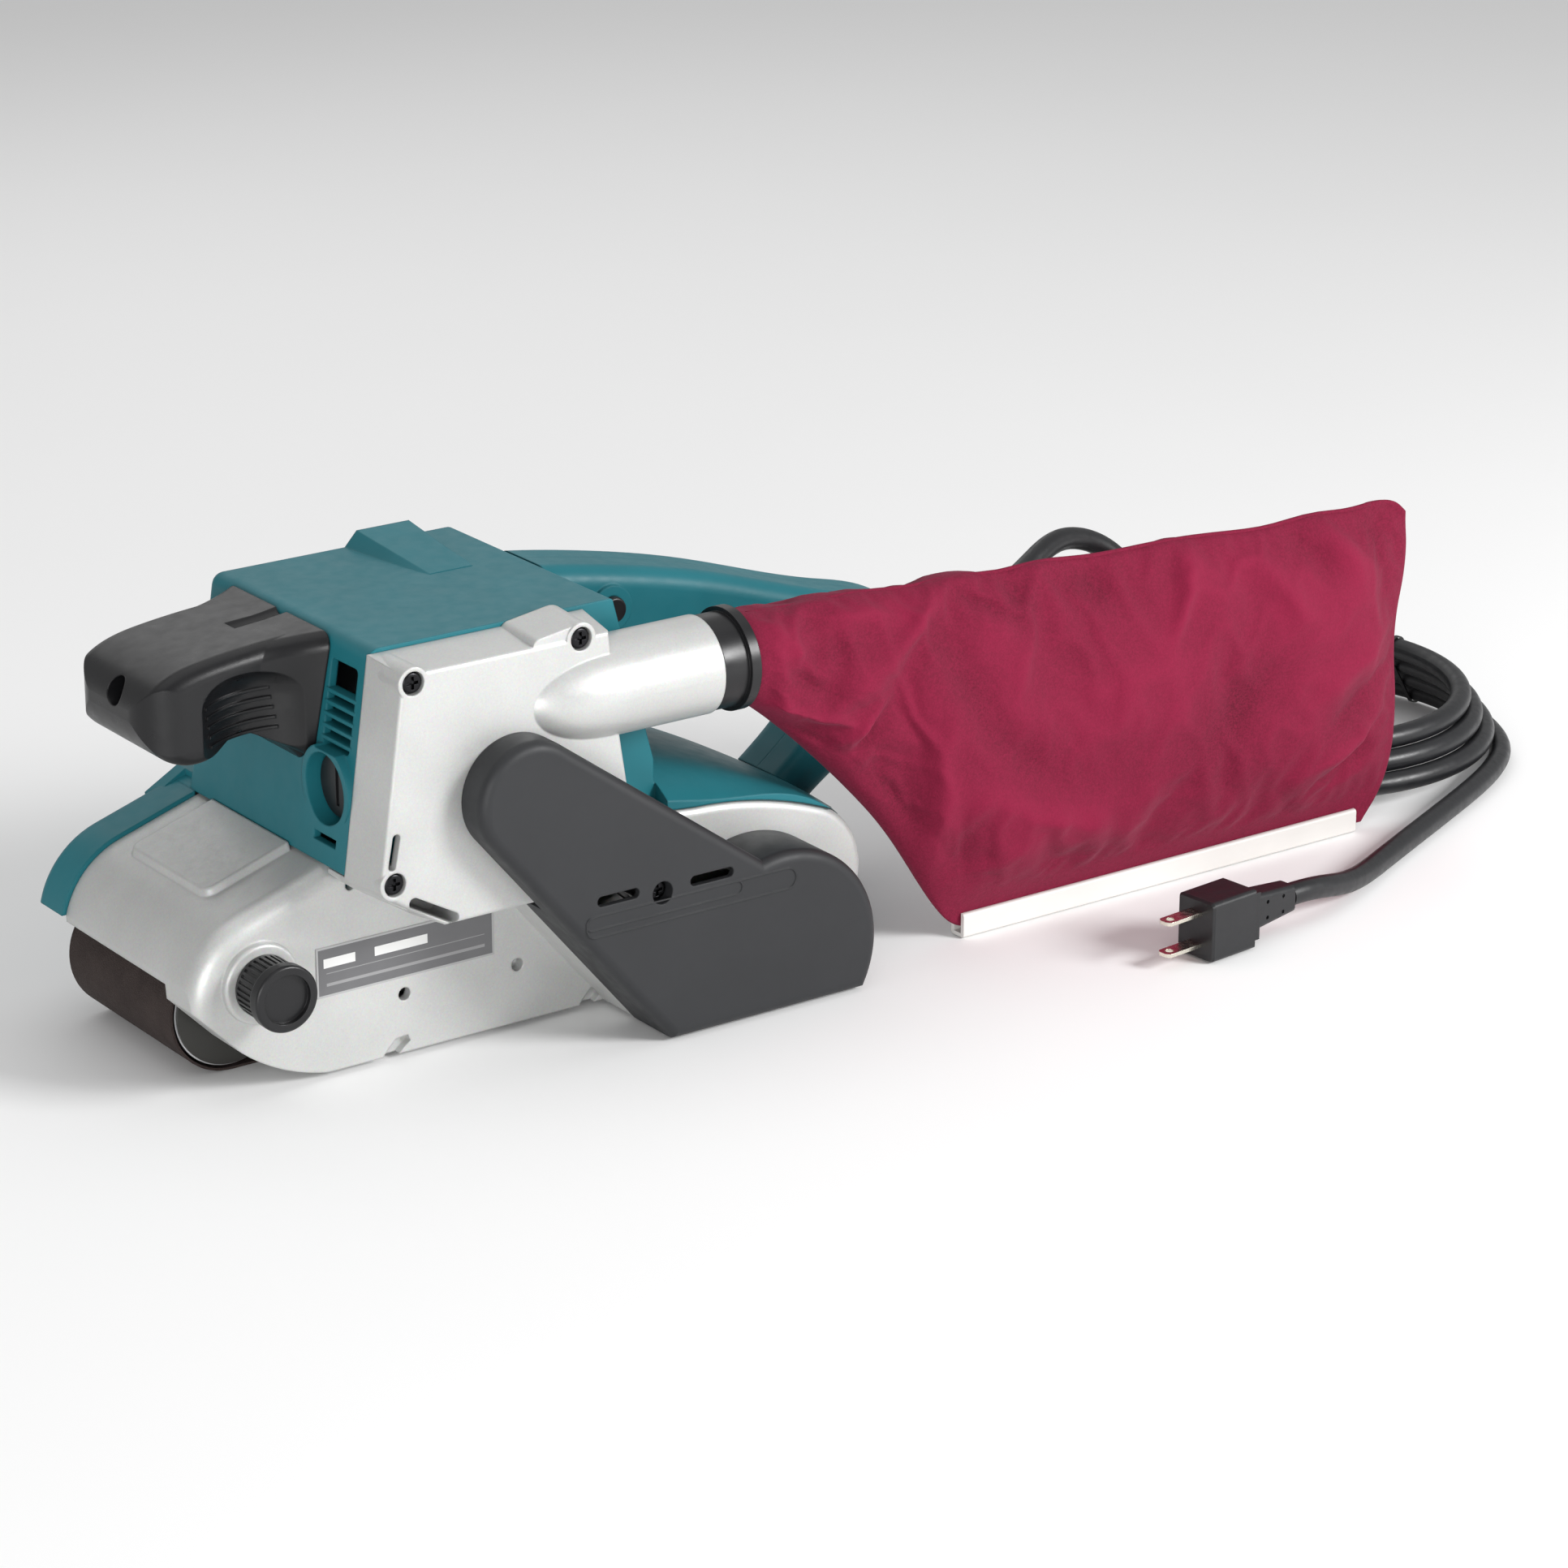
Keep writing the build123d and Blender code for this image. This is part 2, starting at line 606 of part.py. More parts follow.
# ---------------------------------------------------------------- side cover with dust nozzle
# nozzle: a bullet nose that grows out of the cover's face into a tube, without the part inside the cover
with BuildPart() as nozzle:
    with BuildSketch(Plane.XY.offset(nozzle_z)) as nose_profile:
        with BuildLine():
            Line((nose_tip_x, nozzle_y), (nozzle_end_x, nozzle_y))
            Line((nozzle_end_x, nozzle_y), (nozzle_end_x, nozzle_y - nozzle_r))
            Line((nozzle_end_x, nozzle_y - nozzle_r), (nose_end_x, nozzle_y - nozzle_r))
            Bezier((nose_end_x, nozzle_y - nozzle_r), (8, nozzle_y - nozzle_r),
                   (nose_tip_x, nozzle_y - 11), (nose_tip_x, nozzle_y))
        make_face()
    revolve(nose_profile.sketch, axis=Axis((0, nozzle_y, nozzle_z), (1, 0, 0)), revolution_arc=360)
    block((nose_tip_x - 1, 28), (side_cover_y + 3, frame_near_y), (110, 156), mode=Mode.SUBTRACT)

with BuildPart() as side_cover:
    with BuildSketch(side(housing_near_y - gap)):
        add(side_cover_outline.sketch)
    extrude(amount=housing_near_y - gap - side_cover_y, taper=7)
    fillet(side_cover.faces().sort_by(Axis.Y)[0].edges(), 1.5)

    # lower lip that closes the gap to the frame
    with BuildSketch(side(frame_near_y - gap)):
        add(side_cover_outline.sketch)
        with Locations((0, 129.5)):
            Rectangle(200, 100, mode=Mode.SUBTRACT)
    extrude(amount=frame_near_y - housing_near_y)

    # hood over the upper rear screw
    with BuildSketch(side(housing_near_y - gap)):
        for x, z, r in ((17, 156, 7), (0, 156.5, 4)):
            with Locations((x, z)):
                Circle(r)
        make_hull()
    extrude(amount=housing_near_y - gap - side_cover_y - 0.5, taper=4)


    # hollow for the dust fan, which opens into the nozzle
    with BuildSketch(side(frame_near_y)):
        add(side_cover_outline.sketch)
        offset(amount=-6, mode=Mode.REPLACE)
    extrude(amount=frame_near_y - side_cover_y - 3.5, mode=Mode.SUBTRACT)
    add(nozzle.part)
    rod_x(nozzle_y, nozzle_z, nozzle_bore_r + running, (31, nozzle_end_x + 1), mode=Mode.SUBTRACT)
    rod_x(nozzle_y + 3, nozzle_z, 11, (12, 32), mode=Mode.SUBTRACT)

    # seat of the near motor bearing
    rod_y(motor_x, motor_z, 16, (-95, -87))
    rod_y(motor_x, motor_z, 13, (-94, -86), mode=Mode.SUBTRACT)
    rod_y(motor_x, motor_z, 7, (side_cover_y - 1, -86), mode=Mode.SUBTRACT)

    # screw posts, screw lug and counterbores
    for x, z in side_cover_screw_places:
        rod_y(x, z, 6, (side_cover_y, housing_near_y - gap))
        rod_y(x, z, 4.4, (side_cover_y - 1, side_cover_y + 3), mode=Mode.SUBTRACT)
        rod_y(x, z, 2, (side_cover_y, housing_near_y + 2), mode=Mode.SUBTRACT)

    # cooling slots
    slot_y((-60.5, 98), (-62.5, 88), 3.2, (side_cover_y - 2, -80))
    slot_y((-54, 72.5), (-38, 63.5), 4.2, (side_cover_y - 2, -80))
    slot_y((-58, 69), (-48, 63), 3, (side_cover_y - 2, -80))
side_cover.part.label = "side_cover"
export_step(side_cover.part, "parts/side_cover.step")

side_cover_screws = Compound(
    label="side_cover_screws",
    children=[
        screw(26, head_r=4, shank_r=1.95).locate(facing(x, side_cover_y + 3, z, faces_near))
        for x, z in side_cover_screw_places
    ],
)
export_step(side_cover_screws, "parts/side_cover_screws.step")


# ---------------------------------------------------------------- timing-belt cover
with BuildPart() as belt_cover:
    with BuildSketch(side(side_cover_y - gap)):
        add(cover_outline.sketch)
    extrude(amount=side_cover_y - gap - cover_face_y)
    with BuildSketch(side(gear_boss_y - gap)):
        add(cover_outline.sketch)
        with Locations((-60, 120)):
            Rectangle(202, 122.6, mode=Mode.SUBTRACT)
    extrude(amount=gear_boss_y - side_cover_y)
    fillet(belt_cover.faces().sort_by(Axis.Y)[0].edges(), 4)
    with BuildSketch(side(gear_boss_y)):
        add(cover_outline.sketch)
        offset(amount=-2.6, mode=Mode.REPLACE)
    extrude(amount=gear_boss_y - cover_face_y - 2.6, mode=Mode.SUBTRACT)
    rod_y(*cover_screw, 6, (cover_face_y + 0.5, gear_boss_y - gap))
    rod_y(*cover_screw, 4.4, (cover_face_y - 1, cover_face_y + 6), mode=Mode.SUBTRACT)
    rod_y(*cover_screw, 2.1, (cover_face_y, gear_boss_y + 1), mode=Mode.SUBTRACT)
    slot_y((15, 62), (29, 62), 4, (cover_face_y - 1, cover_face_y + 5))
    slot_y((55, 61), (70, 61), 4, (cover_face_y - 1, cover_face_y + 5))
    # thin raised outlines under the slots
    for end, low in ((76, 51.5), (100, 48.5)):
        with BuildSketch(side(cover_face_y + 0.3)):
            with Locations(((8 + end) / 2, (low + 57) / 2)):
                SlotOverall(end - 8, 57 - low)
                offset(amount=-0.5, mode=Mode.SUBTRACT)
        extrude(amount=0.65)
belt_cover.part.label = "belt_cover"
export_step(belt_cover.part, "parts/belt_cover.step")

with BuildPart() as belt_cover_screw:
    head_place = facing(cover_screw[0], cover_face_y + 6, cover_screw[1], faces_near)
    add(screw(30, head_r=4, shank_r=1.95).locate(head_place))
belt_cover_screw.part.label = "belt_cover_screw"
export_step(belt_cover_screw.part, "parts/belt_cover_screw.step")


# ---------------------------------------------------------------- motor
def tube_y(x, z, r_out, r_in, y):
    """A plain tube along Y between a pair of Y values, as a part of its own."""
    with BuildPart() as made:
        rod_y(x, z, r_out, y)
        rod_y(x, z, r_in, (y[0] - 1, y[1] + 1), mode=Mode.SUBTRACT)
    return made.part


with BuildPart() as stator:
    rod_y(motor_x, motor_z, stator_r, (-44, 16))
    rod_y(motor_x, motor_z, armature_r + 0.6, (-45, 17), mode=Mode.SUBTRACT)
    for z in (motor_z - stator_r, motor_z + stator_r):
        block((-40, 16), (-45, 17), (z - 3, z + 3), mode=Mode.SUBTRACT)
stator.part.label = "stator"
export_step(stator.part, "parts/stator.step")

with BuildPart() as field_coils:
    for y in ((-49, -44.2), (16.2, 21)):
        add(tube_y(motor_x, motor_z, 36, 27, y))
        block((motor_x - 4, motor_x + 4), (y[0] - 1, y[1] + 1), (60, 150), mode=Mode.SUBTRACT)
field_coils.part.label = "field_coils"
export_step(field_coils.part, "parts/field_coils.step")

with BuildPart() as armature:
    rod_y(motor_x, motor_z, armature_r, (-43, 15))
    with BuildSketch(side(16)):
        with Locations((motor_x, motor_z)):
            with PolarLocations(armature_r, 12):
                Rectangle(3, 1.4)
    extrude(amount=60, mode=Mode.SUBTRACT)
    rod_y(motor_x, motor_z, motor_shaft_r, (-44, 16), mode=Mode.SUBTRACT)
armature.part.label = "armature"
export_step(armature.part, "parts/armature.step")

with BuildPart() as commutator:
    add(tube_y(motor_x, motor_z, 13, motor_shaft_r, (-70, -52)))
commutator.part.label = "commutator"
export_step(commutator.part, "parts/commutator.step")

with BuildPart() as motor_shaft:
    rod_y(motor_x, motor_z, motor_shaft_r, (-108, 31))
    chamfer(motor_shaft.edges().filter_by(GeomType.CIRCLE), 0.6)
motor_shaft.part.label = "motor_shaft"
export_step(motor_shaft.part, "parts/motor_shaft.step")

with BuildPart() as dust_fan:
    rod_y(motor_x, motor_z, fan_r - 4, (-79, -77.5))
    rod_y(motor_x, motor_z, 9, (-85, -77.5))
    with BuildSketch(side(-79)):
        with Locations((motor_x, motor_z)):
            with PolarLocations(fan_r - 17, 10, rotate=True):
                Rectangle(24, 1.6, rotation=28)
    extrude(amount=6)
    rod_y(motor_x, motor_z, motor_shaft_r, (-90, -70), mode=Mode.SUBTRACT)
dust_fan.part.label = "dust_fan"
export_step(dust_fan.part, "parts/dust_fan.step")

motor_bearings = Compound(
    label="motor_bearings",
    children=[
        tube_y(motor_x, motor_z, 11, motor_shaft_r + running, (24, 31)),
        tube_y(motor_x, motor_z, 13, motor_shaft_r + running, (-94, -87)),
    ],
)
export_step(motor_bearings, "parts/motor_bearings.step")


def brush_pair(name, front, rear, shape):
    """The front and rear copies of one brush part, made by a function of its pair of X values."""
    both = Compound(label=name, children=[shape(front), shape(rear)])
    export_step(both, f"parts/{name}.step")


def brush_holder(x):
    """A brass tube with a square bore for the carbon brush."""
    with BuildPart() as made:
        rod_x(brush_y, brush_z, 6.4, x)
        bore_y = (brush_y - 3.2, brush_y + 3.2)
        block((x[0] - 1, x[1] + 1), bore_y, (brush_z - 4.7, brush_z + 4.7), mode=Mode.SUBTRACT)
    return made.part


def carbon_brush(x):
    """A square carbon brush."""
    with BuildPart() as made:
        block(x, (brush_y - 3.1, brush_y + 3.1), (brush_z - 4.6, brush_z + 4.6))
    return made.part


def brush_cap(x):
    """A round screw cap with a coin slot on each face."""
    with BuildPart() as made:
        rod_x(brush_y, brush_z, brush_cap_r, x)
        slot_across = (brush_y - 1.1, brush_y + 1.1)
        for face in x:
            block((face - 1.2, face + 1.2), slot_across, (brush_z - 7.5, brush_z + 7.5), mode=Mode.SUBTRACT)
    return made.part


brush_pair("brush_holders", (-58, -28), (4, 53), brush_holder)
brush_pair("carbon_brushes", (-48, -25.2), (1.2, 24), carbon_brush)
brush_pair("brush_caps", (-62, -58.2), (53.2, 57), brush_cap)


# ---------------------------------------------------------------- timing drive
def pulley(x, z, teeth, bore_r, y):
    """A toothed pulley with half-round grooves."""
    pitch_r = teeth * tooth_pitch / (2 * math.pi)
    with BuildPart() as made:
        rod_y(x, z, pitch_r - 0.4, y)
        with BuildSketch(side(y[1])):
            with Locations((x, z)):
                with PolarLocations(pitch_r - 0.4, teeth):
                    Circle(0.75)
        extrude(amount=y[1] - y[0], mode=Mode.SUBTRACT)
        rod_y(x, z, bore_r, (y[0] - 1, y[1] + 1), mode=Mode.SUBTRACT)
    return made.part


pulley_span = (pulley_y - pulley_width, pulley_y)
small_pulley = pulley(motor_x, motor_z, small_teeth, motor_shaft_r, pulley_span)
small_pulley.label = "small_pulley"
export_step(small_pulley, "parts/small_pulley.step")

large_pulley = pulley(axle_x, axle_z, large_teeth, drive_shaft_r, pulley_span)
large_pulley.label = "large_pulley"
export_step(large_pulley, "parts/large_pulley.step")

with BuildPart() as timing_belt:
    with BuildSketch(side(pulley_span[1] - 0.5)):
        for grow, mode in ((timing_belt_thickness, Mode.ADD), (0, Mode.SUBTRACT)):
            with BuildSketch(mode=Mode.PRIVATE) as band:
                with Locations((motor_x, motor_z)):
                    Circle(small_teeth * tooth_pitch / (2 * math.pi) - 0.3 + grow)
                with Locations((axle_x, axle_z)):
                    Circle(large_teeth * tooth_pitch / (2 * math.pi) - 0.3 + grow)
                make_hull()
            add(band.sketch, mode=mode)
    extrude(amount=pulley_width - 1)
timing_belt.part.label = "timing_belt"
export_step(timing_belt.part, "parts/timing_belt.step")


# ---------------------------------------------------------------- drive drum
with BuildPart() as drive_shaft:
    rod_y(axle_x, axle_z, drive_shaft_r, (-107.5, -30))
    chamfer(drive_shaft.edges().filter_by(GeomType.CIRCLE), 0.8)
drive_shaft.part.label = "drive_shaft"
export_step(drive_shaft.part, "parts/drive_shaft.step")

with BuildPart() as drive_drum:
    rod_y(axle_x, axle_z, roller_r - 2.05, (-37.5, 37.5))
    rod_y(axle_x, axle_z, roller_r - 5, (-30, 38), mode=Mode.SUBTRACT)
    rod_y(axle_x, axle_z, drive_shaft_r, (-40, -29), mode=Mode.SUBTRACT)
drive_drum.part.label = "drive_drum"
export_step(drive_drum.part, "parts/drive_drum.step")

with BuildPart() as drum_lining:
    add(tube_y(axle_x, axle_z, roller_r - running, roller_r - 2.05, (-37.5, 37.5)))
drum_lining.part.label = "drum_lining"
export_step(drum_lining.part, "parts/drum_lining.step")

drive_bearings = Compound(
    label="drive_bearings",
    children=[
        tube_y(axle_x, axle_z, 14, drive_shaft_r + running, (-83.5, -74)),
        tube_y(axle_x, axle_z, 14, drive_shaft_r + running, (-58, -48)),
    ],
)
export_step(drive_bearings, "parts/drive_bearings.step")


# ---------------------------------------------------------------- sanding belt and sole
with BuildPart() as sanding_belt:
    with BuildSketch(side(belt_edge)):
        with Locations((0, axle_z)):
            SlotCenterToCenter(2 * axle_x, 2 * (roller_r + belt_thickness))
            SlotCenterToCenter(2 * axle_x, 2 * roller_r, mode=Mode.SUBTRACT)
    extrude(amount=belt_width)
sanding_belt.part.label = "sanding_belt"
export_step(sanding_belt.part, "parts/sanding_belt.step")

with BuildPart() as sole_pad:
    block((-72, 72), (-37, 37), (1.0, 2.2))
sole_pad.part.label = "sole_pad"
export_step(sole_pad.part, "parts/sole_pad.step")

with BuildPart() as sole_plate:
    block((-72, 72), (-37, 37), (2.2, 4.2))
    chamfer(sole_plate.edges().filter_by(Axis.Y).group_by(Axis.Z)[-1], 1)
    with Locations((-50, 0, 0), (50, 0, 0)):
        Hole(3)
sole_plate.part.label = "sole_plate"
export_step(sole_plate.part, "parts/sole_plate.step")

with BuildPart() as sole_screw:
    with Locations((0, 0, 3.3)):
        Cylinder(2.9, 1.7)
    with Locations((0, 0, 7.6)):
        Cylinder(1.5, 6.9)
sole_screws = Compound(
    label="sole_screws",
    children=[copy.copy(sole_screw.part).locate(Location((x, 0, 0))) for x in (-50, 50)],
)
export_step(sole_screws, "parts/sole_screws.step")


# ---------------------------------------------------------------- tension carriage and front roller
with BuildPart() as tension_carriage:
    block((-53.5, -46), (-14, 14), (14, 34))
    for z in ((12.3, 14.6), (33.3, 36)):
        block((-66, -46), (-6, 6), z)
    rod_x(0, axle_z, axle_r, (-47, -6))
tension_carriage.part.label = "tension_carriage"
export_step(tension_carriage.part, "parts/tension_carriage.step")

with BuildPart() as fork_pin:
    rod_z(fork_pivot_x, 0, 2.5, (14.6, 33.3))
fork_pin.part.label = "fork_pin"
export_step(fork_pin.part, "parts/fork_pin.step")

with BuildPart() as roller_fork:
    block((-67, -61.5), (-arm_y - arm_thickness, arm_y + arm_thickness), (14.8, 33.1))
    rod_z(fork_pivot_x, 0, 5.5, (14.8, 33.1))
    for y in (-arm_y - arm_thickness, arm_y):
        block((axle_x * -1, -61.5), (y, y + arm_thickness), (14.8, 33.1))
        rod_y(-axle_x, axle_z, 9.15, (y, y + arm_thickness))
    block((-104, -92), (-arm_y - arm_thickness, -arm_y), (24, 47))
    rod_z(fork_pivot_x, 0, 2.5 + running, (10, 40), mode=Mode.SUBTRACT)
    rod_y(-axle_x, axle_z, axle_r, (-50, 50), mode=Mode.SUBTRACT)
roller_fork.part.label = "roller_fork"
export_step(roller_fork.part, "parts/roller_fork.step")

with BuildPart() as front_axle:
    rod_y(-axle_x, axle_z, axle_r, (-arm_y - arm_thickness, arm_y + arm_thickness))
front_axle.part.label = "front_axle"
export_step(front_axle.part, "parts/front_axle.step")

with BuildPart() as front_roller:
    with BuildSketch(Plane.XY.offset(axle_z)) as crown:
        with BuildLine():
            Polyline((-axle_x, -37.5), (-axle_x - 22, -37.5), (-axle_x - roller_r + running, 0))
            Polyline((-axle_x - roller_r + running, 0), (-axle_x - 22, 37.5), (-axle_x, 37.5))
            Line((-axle_x, 37.5), (-axle_x, -37.5))
        make_face()
    revolve(crown.sketch, axis=Axis((-axle_x, 0, axle_z), (0, 1, 0)), revolution_arc=360)
    rod_y(-axle_x, axle_z, 8, (-38, 38), mode=Mode.SUBTRACT)
    for seat in ((-38, -29), (29, 38)):
        rod_y(-axle_x, axle_z, 11, seat, mode=Mode.SUBTRACT)
front_roller.part.label = "front_roller"
export_step(front_roller.part, "parts/front_roller.step")

roller_caps = Compound(
    label="roller_caps",
    children=[tube_y(-axle_x, axle_z, 21.4, axle_r + running, y) for y in ((-38.4, -37.5), (37.5, 38.4))],
)
export_step(roller_caps, "parts/roller_caps.step")

roller_bearings = Compound(
    label="roller_bearings",
    children=[tube_y(-axle_x, axle_z, 11, axle_r + running, y) for y in ((-36, -29), (29, 36))],
)
export_step(roller_bearings, "parts/roller_bearings.step")

with BuildPart() as tension_spring:
    with BuildLine() as coil_line:
        Helix(pitch=3.4, height=20, radius=6, center=(-45.2, 0, axle_z), direction=(1, 0, 0))
    with BuildSketch(Plane(coil_line.line @ 0, z_dir=coil_line.line % 0)):
        Circle(0.7)
    sweep(path=coil_line.line, is_frenet=True)
tension_spring.part.label = "tension_spring"
export_step(tension_spring.part, "parts/tension_spring.step")

with BuildPart() as tension_lever:
    rod_z(lever_x, lever_y, 6.5, (14, 34))
    block((lever_x - 3, 26), (39, 42.5), (17, 31))
    fillet(tension_lever.edges().filter_by(Axis.Y).group_by(Axis.X)[-1], 5)
    block((lever_x - 3, lever_x + 5), (34, 41), (17, 31))
    rod_z(lever_x, lever_y, 3 + running, (10, 40), mode=Mode.SUBTRACT)
tension_lever.part.label = "tension_lever"
export_step(tension_lever.part, "parts/tension_lever.step")

with BuildPart() as lever_pin:
    rod_z(lever_x, lever_y, 3, (8, 40))
lever_pin.part.label = "lever_pin"
export_step(lever_pin.part, "parts/lever_pin.step")


# ---------------------------------------------------------------- tracking knob
with BuildPart() as tracking_knob:
    rod_y(knob_x, knob_z, knob_r, (-85, -79.5))
    fillet(tracking_knob.edges().filter_by(GeomType.CIRCLE), 1.1)
    rod_y(knob_x, knob_z, knob_r - 1, (-80, -68.4))
    with BuildSketch(side(-69.5)):
        with Locations((knob_x, knob_z)):
            with PolarLocations(knob_r - 1, 32):
                Rectangle(1.2, 1.1)
    extrude(amount=9, mode=Mode.SUBTRACT)
    rod_y(knob_x, knob_z, knob_r - 3.2, (-86, -83), mode=Mode.SUBTRACT)
    rod_y(knob_x, knob_z, 3, (-75, -60), mode=Mode.SUBTRACT)
tracking_knob.part.label = "tracking_knob"
export_step(tracking_knob.part, "parts/tracking_knob.step")

with BuildPart() as tracking_screw:
    rod_y(knob_x, knob_z, 3, (-75, -43.9))
tracking_screw.part.label = "tracking_screw"
export_step(tracking_screw.part, "parts/tracking_screw.step")


# ---------------------------------------------------------------- switch, trigger and lock button
with BuildPart() as switch_body:
    block((70, 102), (handle_y - 8, handle_y + 8), (127.5, 141))
switch_body.part.label = "switch_body"
export_step(switch_body.part, "parts/switch_body.step")

with BuildPart() as trigger:
    with BuildSketch(side(handle_y + 9)):
        with BuildLine():
            Polyline((66.6, 120.5), (66.6, 108), (72, 105))
            Spline((72, 105), (86, 103), (104, 100))
            Polyline((104, 100), (106, 103), (105.6, 112), (66.6, 120.5))
        make_face()
    extrude(amount=18)
    fillet(trigger.edges().filter_by(Axis.Y).group_by(Axis.Z)[0], 1.5)
    rod_y(trigger_x, trigger_z, 1.5 + running, (-30, 0), mode=Mode.SUBTRACT)
trigger.part.label = "trigger"
export_step(trigger.part, "parts/trigger.step")

with BuildPart() as trigger_pin:
    rod_y(trigger_x, trigger_z, 1.5, (handle_y - 12, handle_y + 12))
trigger_pin.part.label = "trigger_pin"
export_step(trigger_pin.part, "parts/trigger_pin.step")

with BuildPart() as lock_button:
    button_face = handle_y - handle_half - 4
    rod_y(button_x, button_z, 5, (button_face, -26.9))
    fillet(lock_button.faces().sort_by(Axis.Y)[0].edges(), 1)
    rod_y(button_x, button_z, 5.6, (-27.9, -26.9))
lock_button.part.label = "lock_button"
export_step(lock_button.part, "parts/lock_button.step")

handle_screws = Compound(
    label="handle_screws",
    children=[
        screw(14, head_r=3.4, shank_r=1.75).locate(facing(x, handle_y + handle_half, z, faces_far))
        for x, z in ((60, 148), (150, 118), (176, 60))
    ],
)
export_step(handle_screws, "parts/handle_screws.step")

with BuildPart() as rating_label:
    block((-76, -2), (frame_near_y - 0.3, frame_near_y), (31, 50))
rating_label.part.label = "rating_label"
export_step(rating_label.part, "parts/rating_label.step")


# ---------------------------------------------------------------- dust bag
with BuildPart() as bag_collar:
    rod_x(nozzle_y, nozzle_z, nozzle_bore_r, (48, 85))
    rod_x(nozzle_y, nozzle_z, 17.6, (nozzle_end_x + 0.6, 84))
    rod_x(nozzle_y, nozzle_z, 19.3, (84, 88))
    rod_x(nozzle_y, nozzle_z, nozzle_bore_r - 2, (47, 91), mode=Mode.SUBTRACT)
bag_collar.part.label = "bag_collar"
export_step(bag_collar.part, "parts/bag_collar.step")

with BuildSketch() as bag_outline:
    with BuildLine():
        Polyline((100, 150), (150, 150), (230, 145.5), (319, 140.5), (390, 140), (408, 138.5), (417, 131))
        Polyline((417, 131), (418.5, 112), (411, 84), (414, 40), (410, 18), (400, 11.5))
        Polyline((400, 11.5), (184, 11.5), (176, 27), (158, 52), (137, 76), (100, 110))
        Line((100, 110), (100, 150))
    make_face()

with BuildPart() as dust_bag:
    for swell in (-1, 1):
        for y, size in ((nozzle_y, 1), (nozzle_y + swell * bag_half, 0.86)):
            with BuildSketch(side(y)):
                with Locations((270 * (1 - size), 84 * (1 - size))):
                    add(bag_outline.sketch.scale(size))
        loft(ruled=True)
    rod_x(nozzle_y, nozzle_z, 17.4, (88.2, 125))
    block((186, 400), (nozzle_y - 2, nozzle_y + 2), (2, 18))
dust_bag.part.label = "dust_bag"
export_step(dust_bag.part, "parts/dust_bag.step")

with BuildPart() as bag_clip:
    block((193, 393), (nozzle_y - 4, nozzle_y + 4), (0.2, 10))
    fillet(bag_clip.edges().filter_by(Axis.X), 1.2)
    block((192, 394), (nozzle_y - 2.1, nozzle_y + 2.1), (1.8, 11), mode=Mode.SUBTRACT)
bag_clip.part.label = "bag_clip"
export_step(bag_clip.part, "parts/bag_clip.step")


# ---------------------------------------------------------------- cord and plug
def coil_point(turned):
    """A point on the coiled cord; turned is the angle in degrees since the cord landed on the coil."""
    turns_left = (coil_turned - turned) / 360
    angle = math.radians(coil_start - turned)
    radius = coil_r - coil_narrowing * turns_left
    height = coil_floor_z + coil_rise * turns_left
    return (coil_x + radius * math.cos(angle), coil_y + radius * math.sin(angle), height)


with BuildPart() as power_cord:
    arch = [(253, -12.8, 101), (262, -12.2, 102.8), (284, -8, 109), (312, 2, 115), (336, 4, 107)]
    arch += [(356, -6, 80), (368, -10, 52)]
    coil = [coil_point(turned) for turned in range(0, coil_turned + 1, 32)]
    lead = [(500, -62, 5.3), (478, -79, 5), (447, -95, 4.8), (410, -112, 4.7), (371, -130, 4.7)]
    lead += [(338, -145, 7.5), (322, -149.8, 11), (303.2, -152.2, 12.6)]
    with BuildLine() as cord_line:
        Spline(*(arch + coil + lead))
    with BuildSketch(Plane(cord_line.line @ 0, z_dir=cord_line.line % 0)):
        Circle(cord_r)
    sweep(path=cord_line.line)
power_cord.part.label = "power_cord"
export_step(power_cord.part, "parts/power_cord.step")

with BuildPart() as cord_guard:
    rod_x(handle_y, 98, 6, (206, 229))
    with BuildSketch(Plane.YZ.offset(228)):
        with Locations((handle_y, 98)):
            Circle(7.5)
    with BuildSketch(Plane.YZ.offset(252)):
        with Locations((-12.8, 101)):
            Circle(5.4)
    loft()
cord_guard.part.label = "cord_guard"
export_step(cord_guard.part, "parts/cord_guard.step")

with BuildPart() as plug_body:
    block((0, 27), (-9.5, 9.5), (-12, 12))
    chamfer(plug_body.faces().sort_by(Axis.X)[-1].edges(), 4)
    fillet(plug_body.edges().filter_by(Axis.X), 2)
    chamfer(plug_body.faces().sort_by(Axis.X)[0].edges(), 0.8)
    block((23.6, 27.4), (-7.6, 7.6), (-9.6, 9.6))
    with BuildSketch(Plane.YZ.offset(27)):
        RectangleRounded(11.4, 15, 2.4)
    with BuildSketch(Plane.YZ.offset(50)):
        RectangleRounded(9.8, 11, 2.4)
    loft()
    # dimples in both sides of the strain relief
    for x in (34, 43):
        for z in (-3.2, 3.2):
            rod_y(x, z, 0.8, (-7, -4.3), mode=Mode.SUBTRACT)
            rod_y(x, z, 0.8, (4.3, 7), mode=Mode.SUBTRACT)
plug_body = plug_body.part.moved(plug_place)
plug_body.label = "plug_body"
export_step(plug_body, "parts/plug_body.step")

with BuildPart() as plug_prongs:
    for z in (-6.35, 6.35):
        block((-17.5, 0), (-3.2, 3.2), (z - 0.75, z + 0.75))
    fillet(plug_prongs.edges().filter_by(Axis.Z).group_by(Axis.X)[0], 2)
    rod_z(-14, 0, 1.6, (-8, 8), mode=Mode.SUBTRACT)
plug_prongs = plug_prongs.part.moved(plug_place)
plug_prongs.label = "plug_prongs"
export_step(plug_prongs, "parts/plug_prongs.step")

